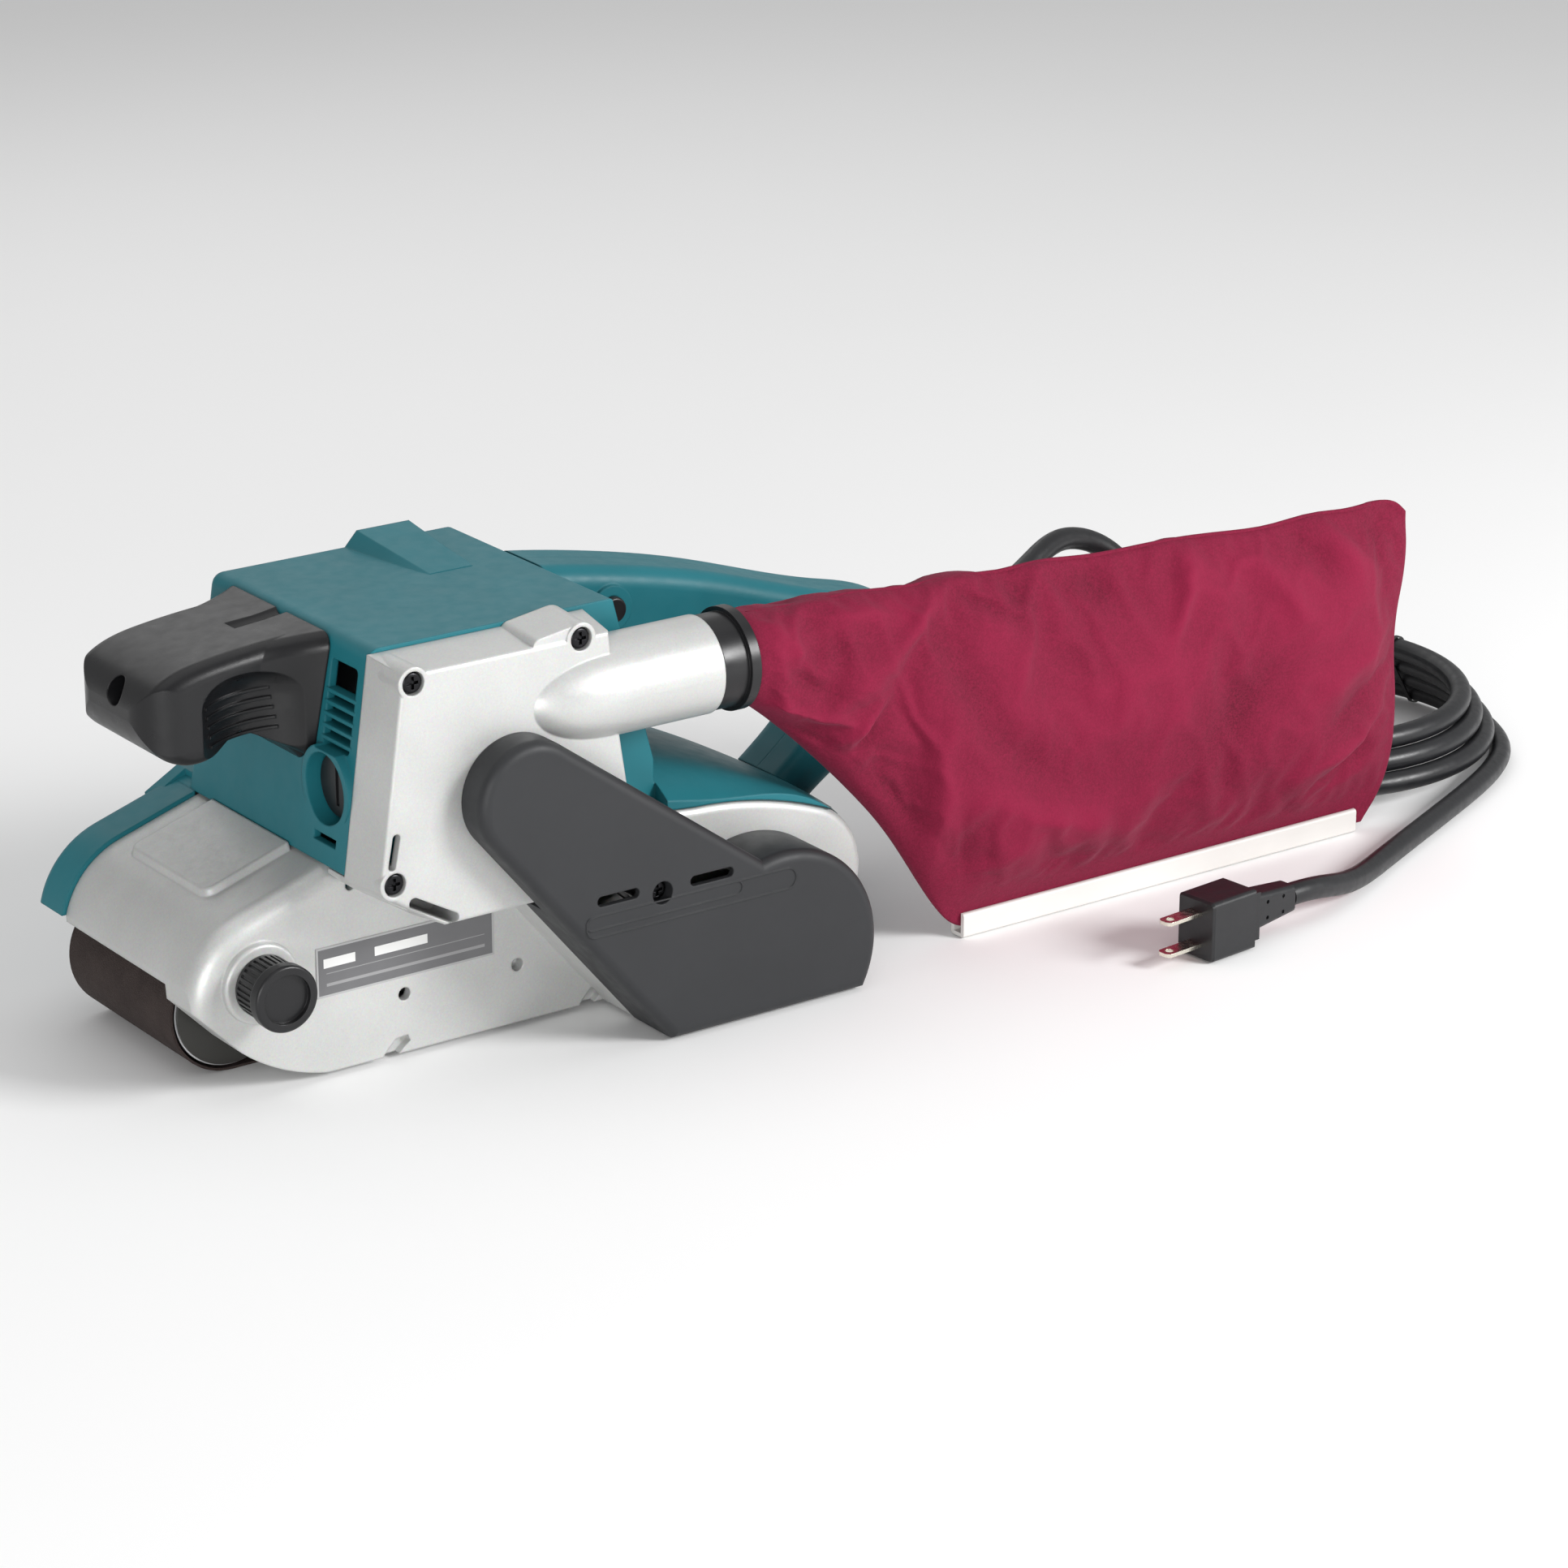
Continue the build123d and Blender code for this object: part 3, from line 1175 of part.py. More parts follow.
with BuildPart() as cord_tie:
    # a flat band round all four strands where they lie in one slanting row
    tie_direction = math.radians(tie_at)
    across = (math.cos(tie_direction), math.sin(tie_direction), 0)
    tie_plane = Plane(origin=(coil_x, coil_y, 0), x_dir=across, z_dir=(across[1], -across[0], 0))
    strands = []
    for turned in (coil_start - tie_at, coil_start - tie_at + 1080):
        turns_left = (coil_turned - turned) / 360
        strands.append((coil_r - coil_narrowing * turns_left, coil_floor_z + coil_rise * turns_left))
    for radius, mode in ((cord_r + 1.0, Mode.ADD), (cord_r + 0.4, Mode.SUBTRACT)):
        with BuildSketch(tie_plane, mode=Mode.PRIVATE) as band:
            with Locations(*strands):
                Circle(radius)
            make_hull()
        extrude(band.sketch, amount=0.9, both=True, mode=mode)
cord_tie.part.label = "cord_tie"
export_step(cord_tie.part, "parts/cord_tie.step")
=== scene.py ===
"""Looks for the handheld belt sander: materials, cloth dust bag, coil spring, floor, light and camera.

Every CAD piece keeps its own mesh and gets a procedural material. Only the dust bag and the tension
spring are built again here, because they bend. Places are in metres, in the frame of the CAD; names
that end in _mm and the numbers in the materials and in the bag's folds are in millimetres.
"""

import json
import math

import bpy
from mathutils import Matrix, Vector, noise


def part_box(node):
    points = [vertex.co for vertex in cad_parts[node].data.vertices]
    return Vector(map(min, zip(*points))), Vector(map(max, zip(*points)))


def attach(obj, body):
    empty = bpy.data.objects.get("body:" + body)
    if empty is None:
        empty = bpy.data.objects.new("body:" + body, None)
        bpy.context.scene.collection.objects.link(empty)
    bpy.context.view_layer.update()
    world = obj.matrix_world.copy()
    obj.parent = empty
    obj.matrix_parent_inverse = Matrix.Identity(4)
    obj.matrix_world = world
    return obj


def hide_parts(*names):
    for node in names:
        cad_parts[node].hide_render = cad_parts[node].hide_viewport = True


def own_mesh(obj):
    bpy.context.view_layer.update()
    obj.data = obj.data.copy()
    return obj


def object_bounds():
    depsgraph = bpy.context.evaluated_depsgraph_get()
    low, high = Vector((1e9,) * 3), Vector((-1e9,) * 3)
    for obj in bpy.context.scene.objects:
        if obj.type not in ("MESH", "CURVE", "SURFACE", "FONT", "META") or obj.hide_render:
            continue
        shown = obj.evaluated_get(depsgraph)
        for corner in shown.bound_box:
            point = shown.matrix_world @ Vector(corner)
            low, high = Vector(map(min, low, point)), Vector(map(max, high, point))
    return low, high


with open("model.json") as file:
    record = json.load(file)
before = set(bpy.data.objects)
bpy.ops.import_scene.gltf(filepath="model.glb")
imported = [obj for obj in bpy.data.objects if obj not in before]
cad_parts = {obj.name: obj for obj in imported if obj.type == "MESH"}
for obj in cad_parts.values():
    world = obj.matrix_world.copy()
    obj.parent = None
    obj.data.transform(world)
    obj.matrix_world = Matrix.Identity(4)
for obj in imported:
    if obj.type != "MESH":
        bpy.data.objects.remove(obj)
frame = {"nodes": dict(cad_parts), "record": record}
cad_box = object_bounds()

MM = 0.001


# ---------------------------------------------------------------- shader helper
def shade(base, factor):
    """The base colour made darker or lighter."""
    return tuple(min(1, c * factor) for c in base)


class Look:
    """A procedural material: a Principled shader, and methods that add nodes in object space."""

    def __init__(self, name, roughness=0.5, metallic=0.0, specular=0.5, edge=0.5):
        """The edge is the radius in mm that sharp edges are shaded with; 0 leaves them sharp."""
        self.material = bpy.data.materials.new(name)
        self.material.use_nodes = True
        self.tree = self.material.node_tree
        self.shader = self.tree.nodes["Principled BSDF"]
        self.shader.inputs["Roughness"].default_value = roughness
        self.shader.inputs["Metallic"].default_value = metallic
        self.shader.inputs["Specular IOR Level"].default_value = specular
        self.coords = self.tree.nodes.new("ShaderNodeTexCoord").outputs["Object"]
        self.normal = None
        if edge:
            bevel = self.node("Bevel", Radius=edge * MM)
            bevel.samples = 4
            self.normal = bevel.outputs["Normal"]

    def feed(self, socket, value):
        """Gives a socket its value, which is an output to link, a colour or a number."""
        if hasattr(value, "is_output"):
            self.tree.links.new(value, socket)
        elif isinstance(value, tuple):
            socket.default_value = (*value, 1)
        else:
            socket.default_value = value

    def node(self, kind, **inputs):
        """A new shader node whose inputs are fed by name."""
        made = self.tree.nodes.new("ShaderNode" + kind)
        for name, value in inputs.items():
            self.feed(made.inputs[name], value)
        return made

    def noise(self, size_mm, detail=3.0, rough=0.55):
        """Noise whose features are about size_mm across, from 0 to 1."""
        scale = 1 / (size_mm * MM)
        made = self.node("TexNoise", Vector=self.coords, Scale=scale, Detail=detail, Roughness=rough)
        return made.outputs["Fac"]

    def cells(self, size_mm, output="Distance"):
        """Grains about size_mm across: the distance from a grain's middle, or each grain's colour."""
        return self.node("TexVoronoi", Vector=self.coords, Scale=1 / (size_mm * MM)).outputs[output]

    def wave(self, band_mm, direction, distortion=0.0):
        """Parallel light and dark bands across one axis, each about band_mm wide."""
        scale = 1 / (band_mm * MM) / math.tau
        made = self.node("TexWave", Vector=self.coords, Scale=scale, Distortion=distortion)
        made.bands_direction = direction
        return made.outputs["Fac"]

    def remap(self, value, low, high, out_low=0.0, out_high=1.0):
        """Takes low..high to out_low..out_high and holds what lies beyond."""
        ends = {"From Min": low, "From Max": high, "To Min": out_low, "To Max": out_high}
        return self.node("MapRange", Value=value, **ends).outputs["Result"]

    def math(self, operation, a, b):
        """One arithmetic step on two numbers or sockets."""
        made = self.tree.nodes.new("ShaderNodeMath")
        made.operation = operation
        self.feed(made.inputs[0], a)
        self.feed(made.inputs[1], b)
        return made.outputs["Value"]

    def mix(self, fac, a, b):
        """A colour between a and b; each is a colour or a socket."""
        made = self.tree.nodes.new("ShaderNodeMix")
        made.data_type = "RGBA"
        fac_input, a_input, b_input = made.inputs[0], made.inputs[6], made.inputs[7]
        self.feed(fac_input, fac)
        self.feed(a_input, a)
        self.feed(b_input, b)
        return made.outputs[2]

    def shades(self, fac, base, darker, lighter):
        """The base colour, times darker where fac is 0 and times lighter where it is 1."""
        return self.mix(fac, shade(base, darker), shade(base, lighter))

    def colour(self, value):
        """Sets the colour of the surface."""
        self.feed(self.shader.inputs["Base Color"], value)

    def uneven_gloss(self, size_mm, smoothest, roughest):
        """Roughness that drifts between two values in patches about size_mm across."""
        patches = self.remap(self.noise(size_mm), 0.3, 0.7, smoothest, roughest)
        self.feed(self.shader.inputs["Roughness"], patches)

    def bump(self, height, depth_mm, strength=1.0):
        """Relief on top of the relief added so far."""
        made = self.node("Bump", Strength=strength, Distance=depth_mm * MM, Height=height)
        if self.normal:
            self.feed(made.inputs["Normal"], self.normal)
        self.normal = made.outputs["Normal"]

    def convex_edges(self):
        """About 1 on convex edges and 0 on flat ground."""
        geometry = self.node("NewGeometry")
        return self.remap(geometry.outputs["Pointiness"], 0.52, 0.62)

    def done(self):
        """The finished material."""
        if self.normal:
            self.feed(self.shader.inputs["Normal"], self.normal)
        return self.material


# ---------------------------------------------------------------- materials
def silver_paint():
    """Cast metal under silver paint, with an orange-peel surface and fine flakes."""
    look = Look("silver_paint", roughness=0.42, metallic=0.35, edge=1.1)
    cloud = look.remap(look.noise(40, detail=2), 0.35, 0.65)
    tone = look.shades(cloud, (0.525, 0.53, 0.52), 0.95, 1.04)
    flakes = look.cells(0.5, "Color")
    look.colour(look.mix(0.06, tone, flakes))
    look.uneven_gloss(3, 0.36, 0.46)
    look.bump(look.noise(0.9, detail=4), depth_mm=0.05, strength=0.55)
    look.bump(look.noise(14, detail=2), depth_mm=0.12, strength=0.35)
    return look.done()


def moulded(name, base, roughness, grain_mm=0.5, grain=0.05, edge=0.7, specular=0.5):
    """Moulded plastic with a fine grain, slightly uneven gloss and paler edges."""
    look = Look(name, roughness=roughness, edge=edge, specular=specular)
    cloud = look.remap(look.noise(30), 0.35, 0.65)
    tone = look.shades(cloud, base, 0.95, 1.03)
    # lighter on convex edges
    paler_edge_amount = look.math("MULTIPLY", look.convex_edges(), 0.5)
    look.colour(look.mix(paler_edge_amount, tone, shade(base, 1.08)))
    look.uneven_gloss(6, roughness - 0.04, roughness + 0.05)
    look.bump(look.noise(grain_mm, detail=4, rough=0.6), depth_mm=grain, strength=0.6)
    return look.done()


def bare_metal(name, base, roughness, direction="Y", lines_mm=0.35):
    """Turned or ground metal with fine parallel machining lines."""
    look = Look(name, roughness=roughness, metallic=1.0, edge=0.3)
    look.colour(look.shades(look.noise(8), base, 0.85, 1.1))
    look.uneven_gloss(2, roughness - 0.08, roughness + 0.1)
    look.bump(look.wave(lines_mm, direction, distortion=2.0), depth_mm=0.01, strength=0.35)
    return look.done()


def rubber(name, base, roughness):
    """Soft matt rubber, also used for graphite cloth and carbon."""
    look = Look(name, roughness=roughness, edge=0.3)
    look.colour(look.shades(look.noise(12), base, 0.8, 1.25))
    look.uneven_gloss(4, roughness - 0.06, roughness + 0.08)
    look.bump(look.noise(0.7), depth_mm=0.03, strength=0.5)
    return look.done()


def abrasive():
    """Brown grit bonded to cloth."""
    look = Look("abrasive", roughness=0.78, edge=0, specular=0.35)
    blotches = look.remap(look.noise(9), 0.3, 0.7)
    ground = look.mix(blotches, (0.026, 0.016, 0.014), (0.040, 0.027, 0.024))
    bright_grains = look.remap(look.cells(0.8), 0.0, 0.25, 1, 0)
    look.colour(look.mix(look.math("MULTIPLY", bright_grains, 0.35), ground, (0.14, 0.10, 0.085)))
    look.bump(look.cells(0.55), depth_mm=0.3, strength=0.9)
    look.bump(look.noise(0.3, detail=2), depth_mm=0.1, strength=0.7)
    return look.done()


def bag_cloth():
    """Burgundy cotton: speckled weave, a weak sheen, painted shade in the fold valleys and a painted
    highlight on the fold ridges.
    """
    look = Look("bag_cloth", roughness=0.85, edge=0, specular=0.2)
    base = (0.170, 0.0065, 0.030)
    faded = look.remap(look.noise(26, detail=4), 0.35, 0.68)
    tone = look.shades(faded, base, 0.92, 1.06)
    fold_height = look.tree.nodes.new("ShaderNodeAttribute")
    fold_height.attribute_name = "fold"
    # painted shade in the fold valleys and a painted highlight on the fold ridges, both driven by the fold
    # heights stored on the mesh
    above_painted_valley_shade = look.remap(fold_height.outputs["Fac"], -3.6, 2.4)
    painted_ridge_highlight = look.remap(fold_height.outputs["Fac"], 1.2, 5.0, 0, 0.45)
    tone = look.mix(above_painted_valley_shade, shade(base, 0.55), tone)
    tone = look.mix(painted_ridge_highlight, tone, shade(base, 1.3))
    coarse_threads = look.math("MULTIPLY", look.noise(1.7), 0.5)
    threads = look.math("ADD", look.noise(0.75, detail=2), coarse_threads)
    look.colour(look.mix(look.remap(threads, 0.55, 0.95, 0, 0.5), tone, shade(base, 1.4)))
    look.feed(look.shader.inputs["Sheen Weight"], 0.08)
    look.feed(look.shader.inputs["Sheen Roughness"], 0.5)
    look.feed(look.shader.inputs["Sheen Tint"], (0.9, 0.35, 0.5))
    look.bump(threads, depth_mm=0.22, strength=0.6)
    look.bump(look.noise(2.6, detail=4), depth_mm=0.25, strength=0.5)
    return look.done()


def label_film():
    """Blank dark film with a lighter border, two pale fields and pale lines, and nothing written on it."""
    look = Look("label_film", roughness=0.35, edge=0)
    low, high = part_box("rating_label")
    width, height = (high.x - low.x) / MM, (high.z - low.z) / MM
    place = look.node("SeparateXYZ", Vector=look.coords)
    grey = (0.55, 0.55, 0.55)

    def between(axis, start, end):
        above = look.math("GREATER_THAN", place.outputs[axis], start)
        below = look.math("LESS_THAN", place.outputs[axis], end)
        return look.math("MULTIPLY", above, below)

    def field(left, right, bottom, top):
        """1 inside a rectangle, measured in mm from the label's lower left corner."""
        across = between("X", low.x + left * MM, low.x + right * MM)
        return look.math("MULTIPLY", across, between("Z", low.z + bottom * MM, low.z + top * MM))

    margin = 0.8
    border = look.math("SUBTRACT", 1.0, field(margin, width - margin, margin, height - margin))
    pale_fields = look.math("MAXIMUM", field(3, 16, 11, 14.5), field(24, 46, 11, 14.5))
    crests = look.math("GREATER_THAN", look.wave(2.4, "Z"), 0.86)
    lines = look.math("MULTIPLY", crests, field(4, 70, 2, 9))
    ground = look.mix(look.noise(10), (0.12, 0.12, 0.125), (0.15, 0.15, 0.155))
    tone = look.mix(look.math("MULTIPLY", lines, 0.35), ground, grey)
    tone = look.mix(pale_fields, tone, (0.75, 0.75, 0.74))
    look.colour(look.mix(look.math("MULTIPLY", border, 0.6), tone, grey))
    look.bump(look.noise(1.5), depth_mm=0.01, strength=0.3)
    return look.done()


looks = {"casting": silver_paint(), "abrasive": abrasive(), "label": label_film(), "bag_cloth": bag_cloth()}


def add_look(maker, name, base, roughness, **settings):
    """Makes one more material and keeps it under the name of its slot."""
    looks[name] = maker(name, base, roughness, **settings)


teal = (0.013, 0.145, 0.176)
add_look(moulded, "teal_plastic", teal, 0.44, grain_mm=0.6, grain=0.03, edge=1.0, specular=0.28)
add_look(moulded, "charcoal_plastic", (0.024, 0.025, 0.027), 0.5, edge=0.8, specular=0.32)
add_look(moulded, "grip_plastic", (0.007, 0.007, 0.008), 0.31, grain=0.02, edge=0.8, specular=0.4)
add_look(moulded, "black_plastic", (0.010, 0.010, 0.011), 0.34, grain=0.015, edge=0.4, specular=0.4)
add_look(moulded, "white_plastic", (0.64, 0.625, 0.60), 0.4, grain_mm=1.0, grain=0.02, edge=0.4)
add_look(moulded, "roller_paint", (0.026, 0.025, 0.022), 0.45, grain_mm=0.8, grain=0.02, edge=0.3)
add_look(bare_metal, "black_screw", (0.025, 0.025, 0.027), 0.3)
add_look(bare_metal, "steel", (0.56, 0.56, 0.57), 0.3)
add_look(bare_metal, "aluminium", (0.68, 0.68, 0.69), 0.34)
add_look(bare_metal, "core_steel", (0.3, 0.3, 0.32), 0.45, lines_mm=0.5)
add_look(bare_metal, "copper", (0.72, 0.32, 0.16), 0.35, lines_mm=0.6)
add_look(bare_metal, "brass", (0.80, 0.76, 0.66), 0.24, direction="X")
add_look(rubber, "carbon", (0.02, 0.02, 0.02), 0.6)
add_look(rubber, "rubber", (0.02, 0.02, 0.02), 0.6)
add_look(rubber, "cord_rubber", (0.010, 0.0105, 0.012), 0.38)
add_look(rubber, "graphite", (0.04, 0.04, 0.045), 0.7)

# the front grip is glossier than the other pieces of its slot
own_looks = {"front_grip": "grip_plastic"}

for part in frame["record"]["subparts"]:
    materials = frame["nodes"][part["node"]].data.materials
    materials.clear()
    materials.append(looks[own_looks.get(part["node"], part["material_slot"])])


# ---------------------------------------------------------------- mesh helpers
def add_to_scene(name, data):
    """A new object with this data."""
    thing = bpy.data.objects.new(name, data)
    bpy.context.scene.collection.objects.link(thing)
    return thing


def mesh_object(name, vertices, faces, material):
    """A smooth-shaded mesh."""
    mesh = bpy.data.meshes.new(name)
    mesh.from_pydata(vertices, [], faces)
    mesh.update()
    mesh.materials.append(material)
    mesh.polygons.foreach_set("use_smooth", [True] * len(mesh.polygons))
    return add_to_scene(name, mesh)


def along(points, t):
    """The point at fraction t of a polyline's length."""
    steps = [(b - a).length for a, b in zip(points, points[1:])]
    want = t * sum(steps)
    for (a, b), step in zip(zip(points, points[1:]), steps):
        if want <= step:
            return a.lerp(b, want / step)
        want -= step
    return points[-1].copy()


def smooth_line(points, rounds=3):
    """Corner cutting that keeps the ends."""
    for _ in range(rounds):
        out = [points[0]]
        for a, b in zip(points, points[1:]):
            out += [a.lerp(b, 0.25), a.lerp(b, 0.75)]
        points = out + [points[-1]]
    return points


def clamp(value):
    """The value, kept between 0 and 1."""
    return min(1, max(0, value))


def tube(name, points, radius, material, up, sides=8):
    """A round tube along points, closed at both ends; up is a direction the points never run along."""
    vertices, faces = [], []
    last = len(points) - 1
    for i, point in enumerate(points):
        forward = (points[min(i + 1, last)] - points[max(i - 1, 0)]).normalized()
        across = forward.cross(up).normalized()
        lift = across.cross(forward)
        for k in range(sides):
            angle = math.tau * k / sides
            vertices.append(point + radius * (across * math.cos(angle) + lift * math.sin(angle)))
    for i in range(last):
        ring, next_ring = i * sides, (i + 1) * sides
        for k in range(sides):
            m = (k + 1) % sides
            faces.append((ring + k, ring + m, next_ring + m, next_ring + k))
    faces.append(tuple(reversed(range(sides))))
    faces.append(tuple(last * sides + k for k in range(sides)))
    return mesh_object(name, vertices, faces, material)


# ---------------------------------------------------------------- dust bag: outline
def curve(from_x, from_z, steps):
    """Points in the bag's middle plane, at (X, Z) steps in mm from one place."""
    return [Vector((from_x + x * MM, 0, from_z + z * MM)) for x, z in steps]


def waved(top, start, rear):
    """The top edge with shallow waves in its seam, which fade out at both ends."""
    wave_mm = 0.6
    for point in top[1:-1]:
        x = point.x / MM
        fade = min(1, (x - start / MM) / 60, (rear / MM - x) / 25)
        point.z += fade * (wave_mm * math.sin(x / 9.0 + 1.4 * math.sin(x / 31)) - wave_mm) * MM
    return top


def bag_outline():
    """The bag's four edges (bottom, top, front, back), laid between the collar, the clip and the CAD bag."""
    low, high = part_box("dust_bag")
    collar_low, collar_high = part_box("bag_collar")
    clip_low, clip_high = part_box("bag_clip")
    neck_radius = 17.0 * MM
    axis_z = (collar_low.z + collar_high.z) / 2
    neck_top, neck_bottom = axis_z + neck_radius, axis_z - neck_radius
    start = collar_high.x + 0.3 * MM
    hem = low.z + 0.2 * MM
    rear, crown = high.x, high.z

    top = curve(start, neck_top, [(0, 0), (12, -0.5), (45, -1)])
    top += curve(start, crown, [(128, -5), (188, -7.5), (246, -11)])
    top += curve(rear, crown, [(-24, -11), (-9, -12.5), (-2.5, -19)])
    back = curve(rear, hem, [(-20, 0), (-8, 14), (-3, 42), (-8, 80), (-1, 108)]) + [top[-1]]
    bottom = curve(start, neck_bottom, [(0, 0), (6, -2), (27, -20), (49, -42), (70, -66), (86, -92)])
    bottom += curve(clip_low.x, hem, [(-9, 7), (0, 0.5), (14, 0)])
    bottom += curve(clip_high.x, hem, [(-6, 0)]) + [back[0]]
    front = [bottom[0], top[0]]
    return smooth_line(bottom), waved(smooth_line(top), start, rear), front, smooth_line(back)


def bag_point(edges, u, v):
    """A point of the surface stretched between the four edges (a Coons patch)."""
    bottom, top, front, back = edges
    b, t, f, r = along(bottom, u), along(top, u), along(front, v), along(back, v)
    corners = (
        (bottom[0], (1 - u) * (1 - v)),
        (bottom[-1], u * (1 - v)),
        (top[0], (1 - u) * v),
        (top[-1], u * v),
    )
    point = b * (1 - v) + t * v + f * (1 - u) + r * u
    for corner, weight in corners:
        point = point - corner * weight
    return point


# ---------------------------------------------------------------- dust bag: folds
# long folds of the near panel: start and end (X, Z), width and height; a negative height is a valley
bag_folds = (
    # fanning out from the neck
    ((88, 150), (101, 127), 3.9, 2.8),
    ((80, 144), (86, 124), 3.1, -3),
    ((95, 150), (114, 126), 4.7, 3),
    ((122, 149), (148, 142), 4.7, 2.5),
    ((96, 134), (120, 118), 3.9, -3),
    ((94, 117), (135, 102), 4.7, 4.8),
    ((100, 108), (124, 96), 3.9, -4.6),
    ((124, 96), (143, 109), 3.1, 4.1),
    ((132, 92), (146, 98), 3.9, -3),
    ((184, 147), (152, 127), 7, 4.1),
    ((152, 127), (120, 110), 7, 2.3),
    ((170, 122), (196, 96), 9.4, -3),
    # hanging from the top seam
    ((184, 140), (213, 124), 2.5, -3.9),
    ((201, 148), (218, 130), 6.2, -3.7),
    ((222, 146), (232, 126), 6.2, 3),
    ((240, 143), (260, 123), 6.2, -3.9),
    ((264, 143), (271, 120), 4.7, -2.8),
    ((299, 138), (283, 108), 4.7, 4.4),
    ((291, 142), (286, 128), 3.9, -3.7),
    ((332, 126), (345, 105), 6.2, 2.5),
    ((350, 139), (366, 113), 4.7, -3.4),
    ((364, 136), (380, 116), 4.7, 3.4),
    ((392, 134), (398, 108), 6.2, -2.3),
    # from the rear edge inwards
    ((404, 92), (352, 68), 7, 3),
    ((402, 74), (360, 54), 5.5, -2.8),
    ((399, 52), (348, 34), 5.5, 4.4),
    ((400, 42), (362, 28), 3.9, -3.9),
    ((400, 34), (356, 14), 4.7, 3.7),
    ((348, 26), (356, 14), 3.9, -3.4),
    # low, above the clip and along the sloping edge
    ((188, 60), (268, 33), 7, 3.9),
    ((182, 97), (230, 60), 10.1, -3.7),
    ((170, 82), (173, 36), 6.2, 3.9),
    ((146, 80), (168, 54), 4.7, -3),
    ((184, 50), (192, 22), 4.7, -3.4),
    ((225, 26), (296, 17), 5.5, -3.7),
    # wide and shallow, in the middle
    ((212, 120), (202, 95), 7, 2.5),
    ((300, 60), (336, 84), 9.4, -2.3),
    ((238, 92), (300, 100), 10.1, 2.3),
)


def crease(x, z, start, end, width):
    """Height from 0 to 1 of a long soft crease between two (X, Z) points, lower towards its ends."""
    run_x, run_z = end[0] - start[0], end[1] - start[1]
    t = clamp(((x - start[0]) * run_x + (z - start[1]) * run_z) / (run_x * run_x + run_z * run_z))
    away = math.hypot(x - start[0] - t * run_x, z - start[1] - t * run_z)
    taper = 0.35 + 0.65 * math.sin(math.pi * (0.06 + 0.88 * t))
    return math.exp(-((away / width) ** 1.4)) * taper


def neck_rays(x, z, side):
    """Height of the gathers that fan out from the collar, and how far away the collar is."""
    neck_x, neck_z = 92, 133
    away = math.hypot(x - neck_x, z - neck_z)
    angle = math.atan2(z - neck_z, x - neck_x)
    rays = math.sin(angle * 15 + 1.3 * side) * 0.9 + math.sin(angle * 9 + 2.1 * side + 0.8) * 0.8
    return rays * (clamp((away - 5) / 22) * math.exp(-away / 60)), away


def pucker(x, wave, size, stray, from_seam):
    """Small gathers that die out about 9 mm from a seam; stray is how much and how slowly they wander."""
    swing, swing_wave = stray
    return math.sin(x / wave + swing * math.sin(x / swing_wave)) * size * math.exp(-max(0, from_seam) / 9)


def bag_fold(x, z, side):
    """Height of the folds in the cloth at (X, Z); side is -1 on the near panel and 1 on the far one."""
    top_seam_z, hem_z = 143, 10
    rays, from_neck = neck_rays(x, z, side)
    soft = noise.noise(Vector((x / 66 + 5 * side, z / 52, 3.7 * side))) * 4.0
    middle = noise.noise(Vector((x / 27, z / 23 + 9 * side, 7.1))) * 1.6
    ridged = 1 - abs(noise.noise(Vector((x / 19 + z / 40, z / 24 - x / 60, 11.0 + side)))) * 4
    small = noise.noise(Vector((x / 12, z / 15, 1.3 + 4 * side))) * 0.6 + max(0, ridged) * 1.1
    top_pucker = pucker(x, wave=6.5, size=0.8, stray=(2.2, 23), from_seam=top_seam_z - z)
    hem_pucker = pucker(x, wave=4.2, size=0.5, stray=(1.5, 17), from_seam=z - hem_z)
    folds = 0
    wander = 3 * noise.noise(Vector((x / 21, z / 21, 2.5)))
    for start, end, width, height in bag_folds:
        if side > 0:
            # the far panel has the same folds, shifted
            start, end = (start[0] + 17, start[1] - 5), (end[0] - 9, end[1] + 4)
        folds += height * crease(x + wander, z - wander, start, end, width)
    return rays + soft * min(1, from_neck / 70) + middle + small + top_pucker + hem_pucker + folds


# ---------------------------------------------------------------- dust bag: mesh
def half_thickness(u, v, pressed):
    """Half the bag's thickness in mm without folds; pressed is 0 in the clip and 1 well above it."""
    neck, body, clip, end_stretch = 17.0, 13.5, 1.7, 0.16
    full = neck * (1 - u) ** 2 + body * (1 - (1 - u) ** 2)
    across = (4 * v * (1 - v)) ** 0.5
    rear = min(1, (1 - u) / end_stretch)
    half = full * across * (0.18 + 0.82 * math.sin(rear * math.pi / 2))
    return half * (pressed * (2 - pressed)) + clip * (1 - pressed)


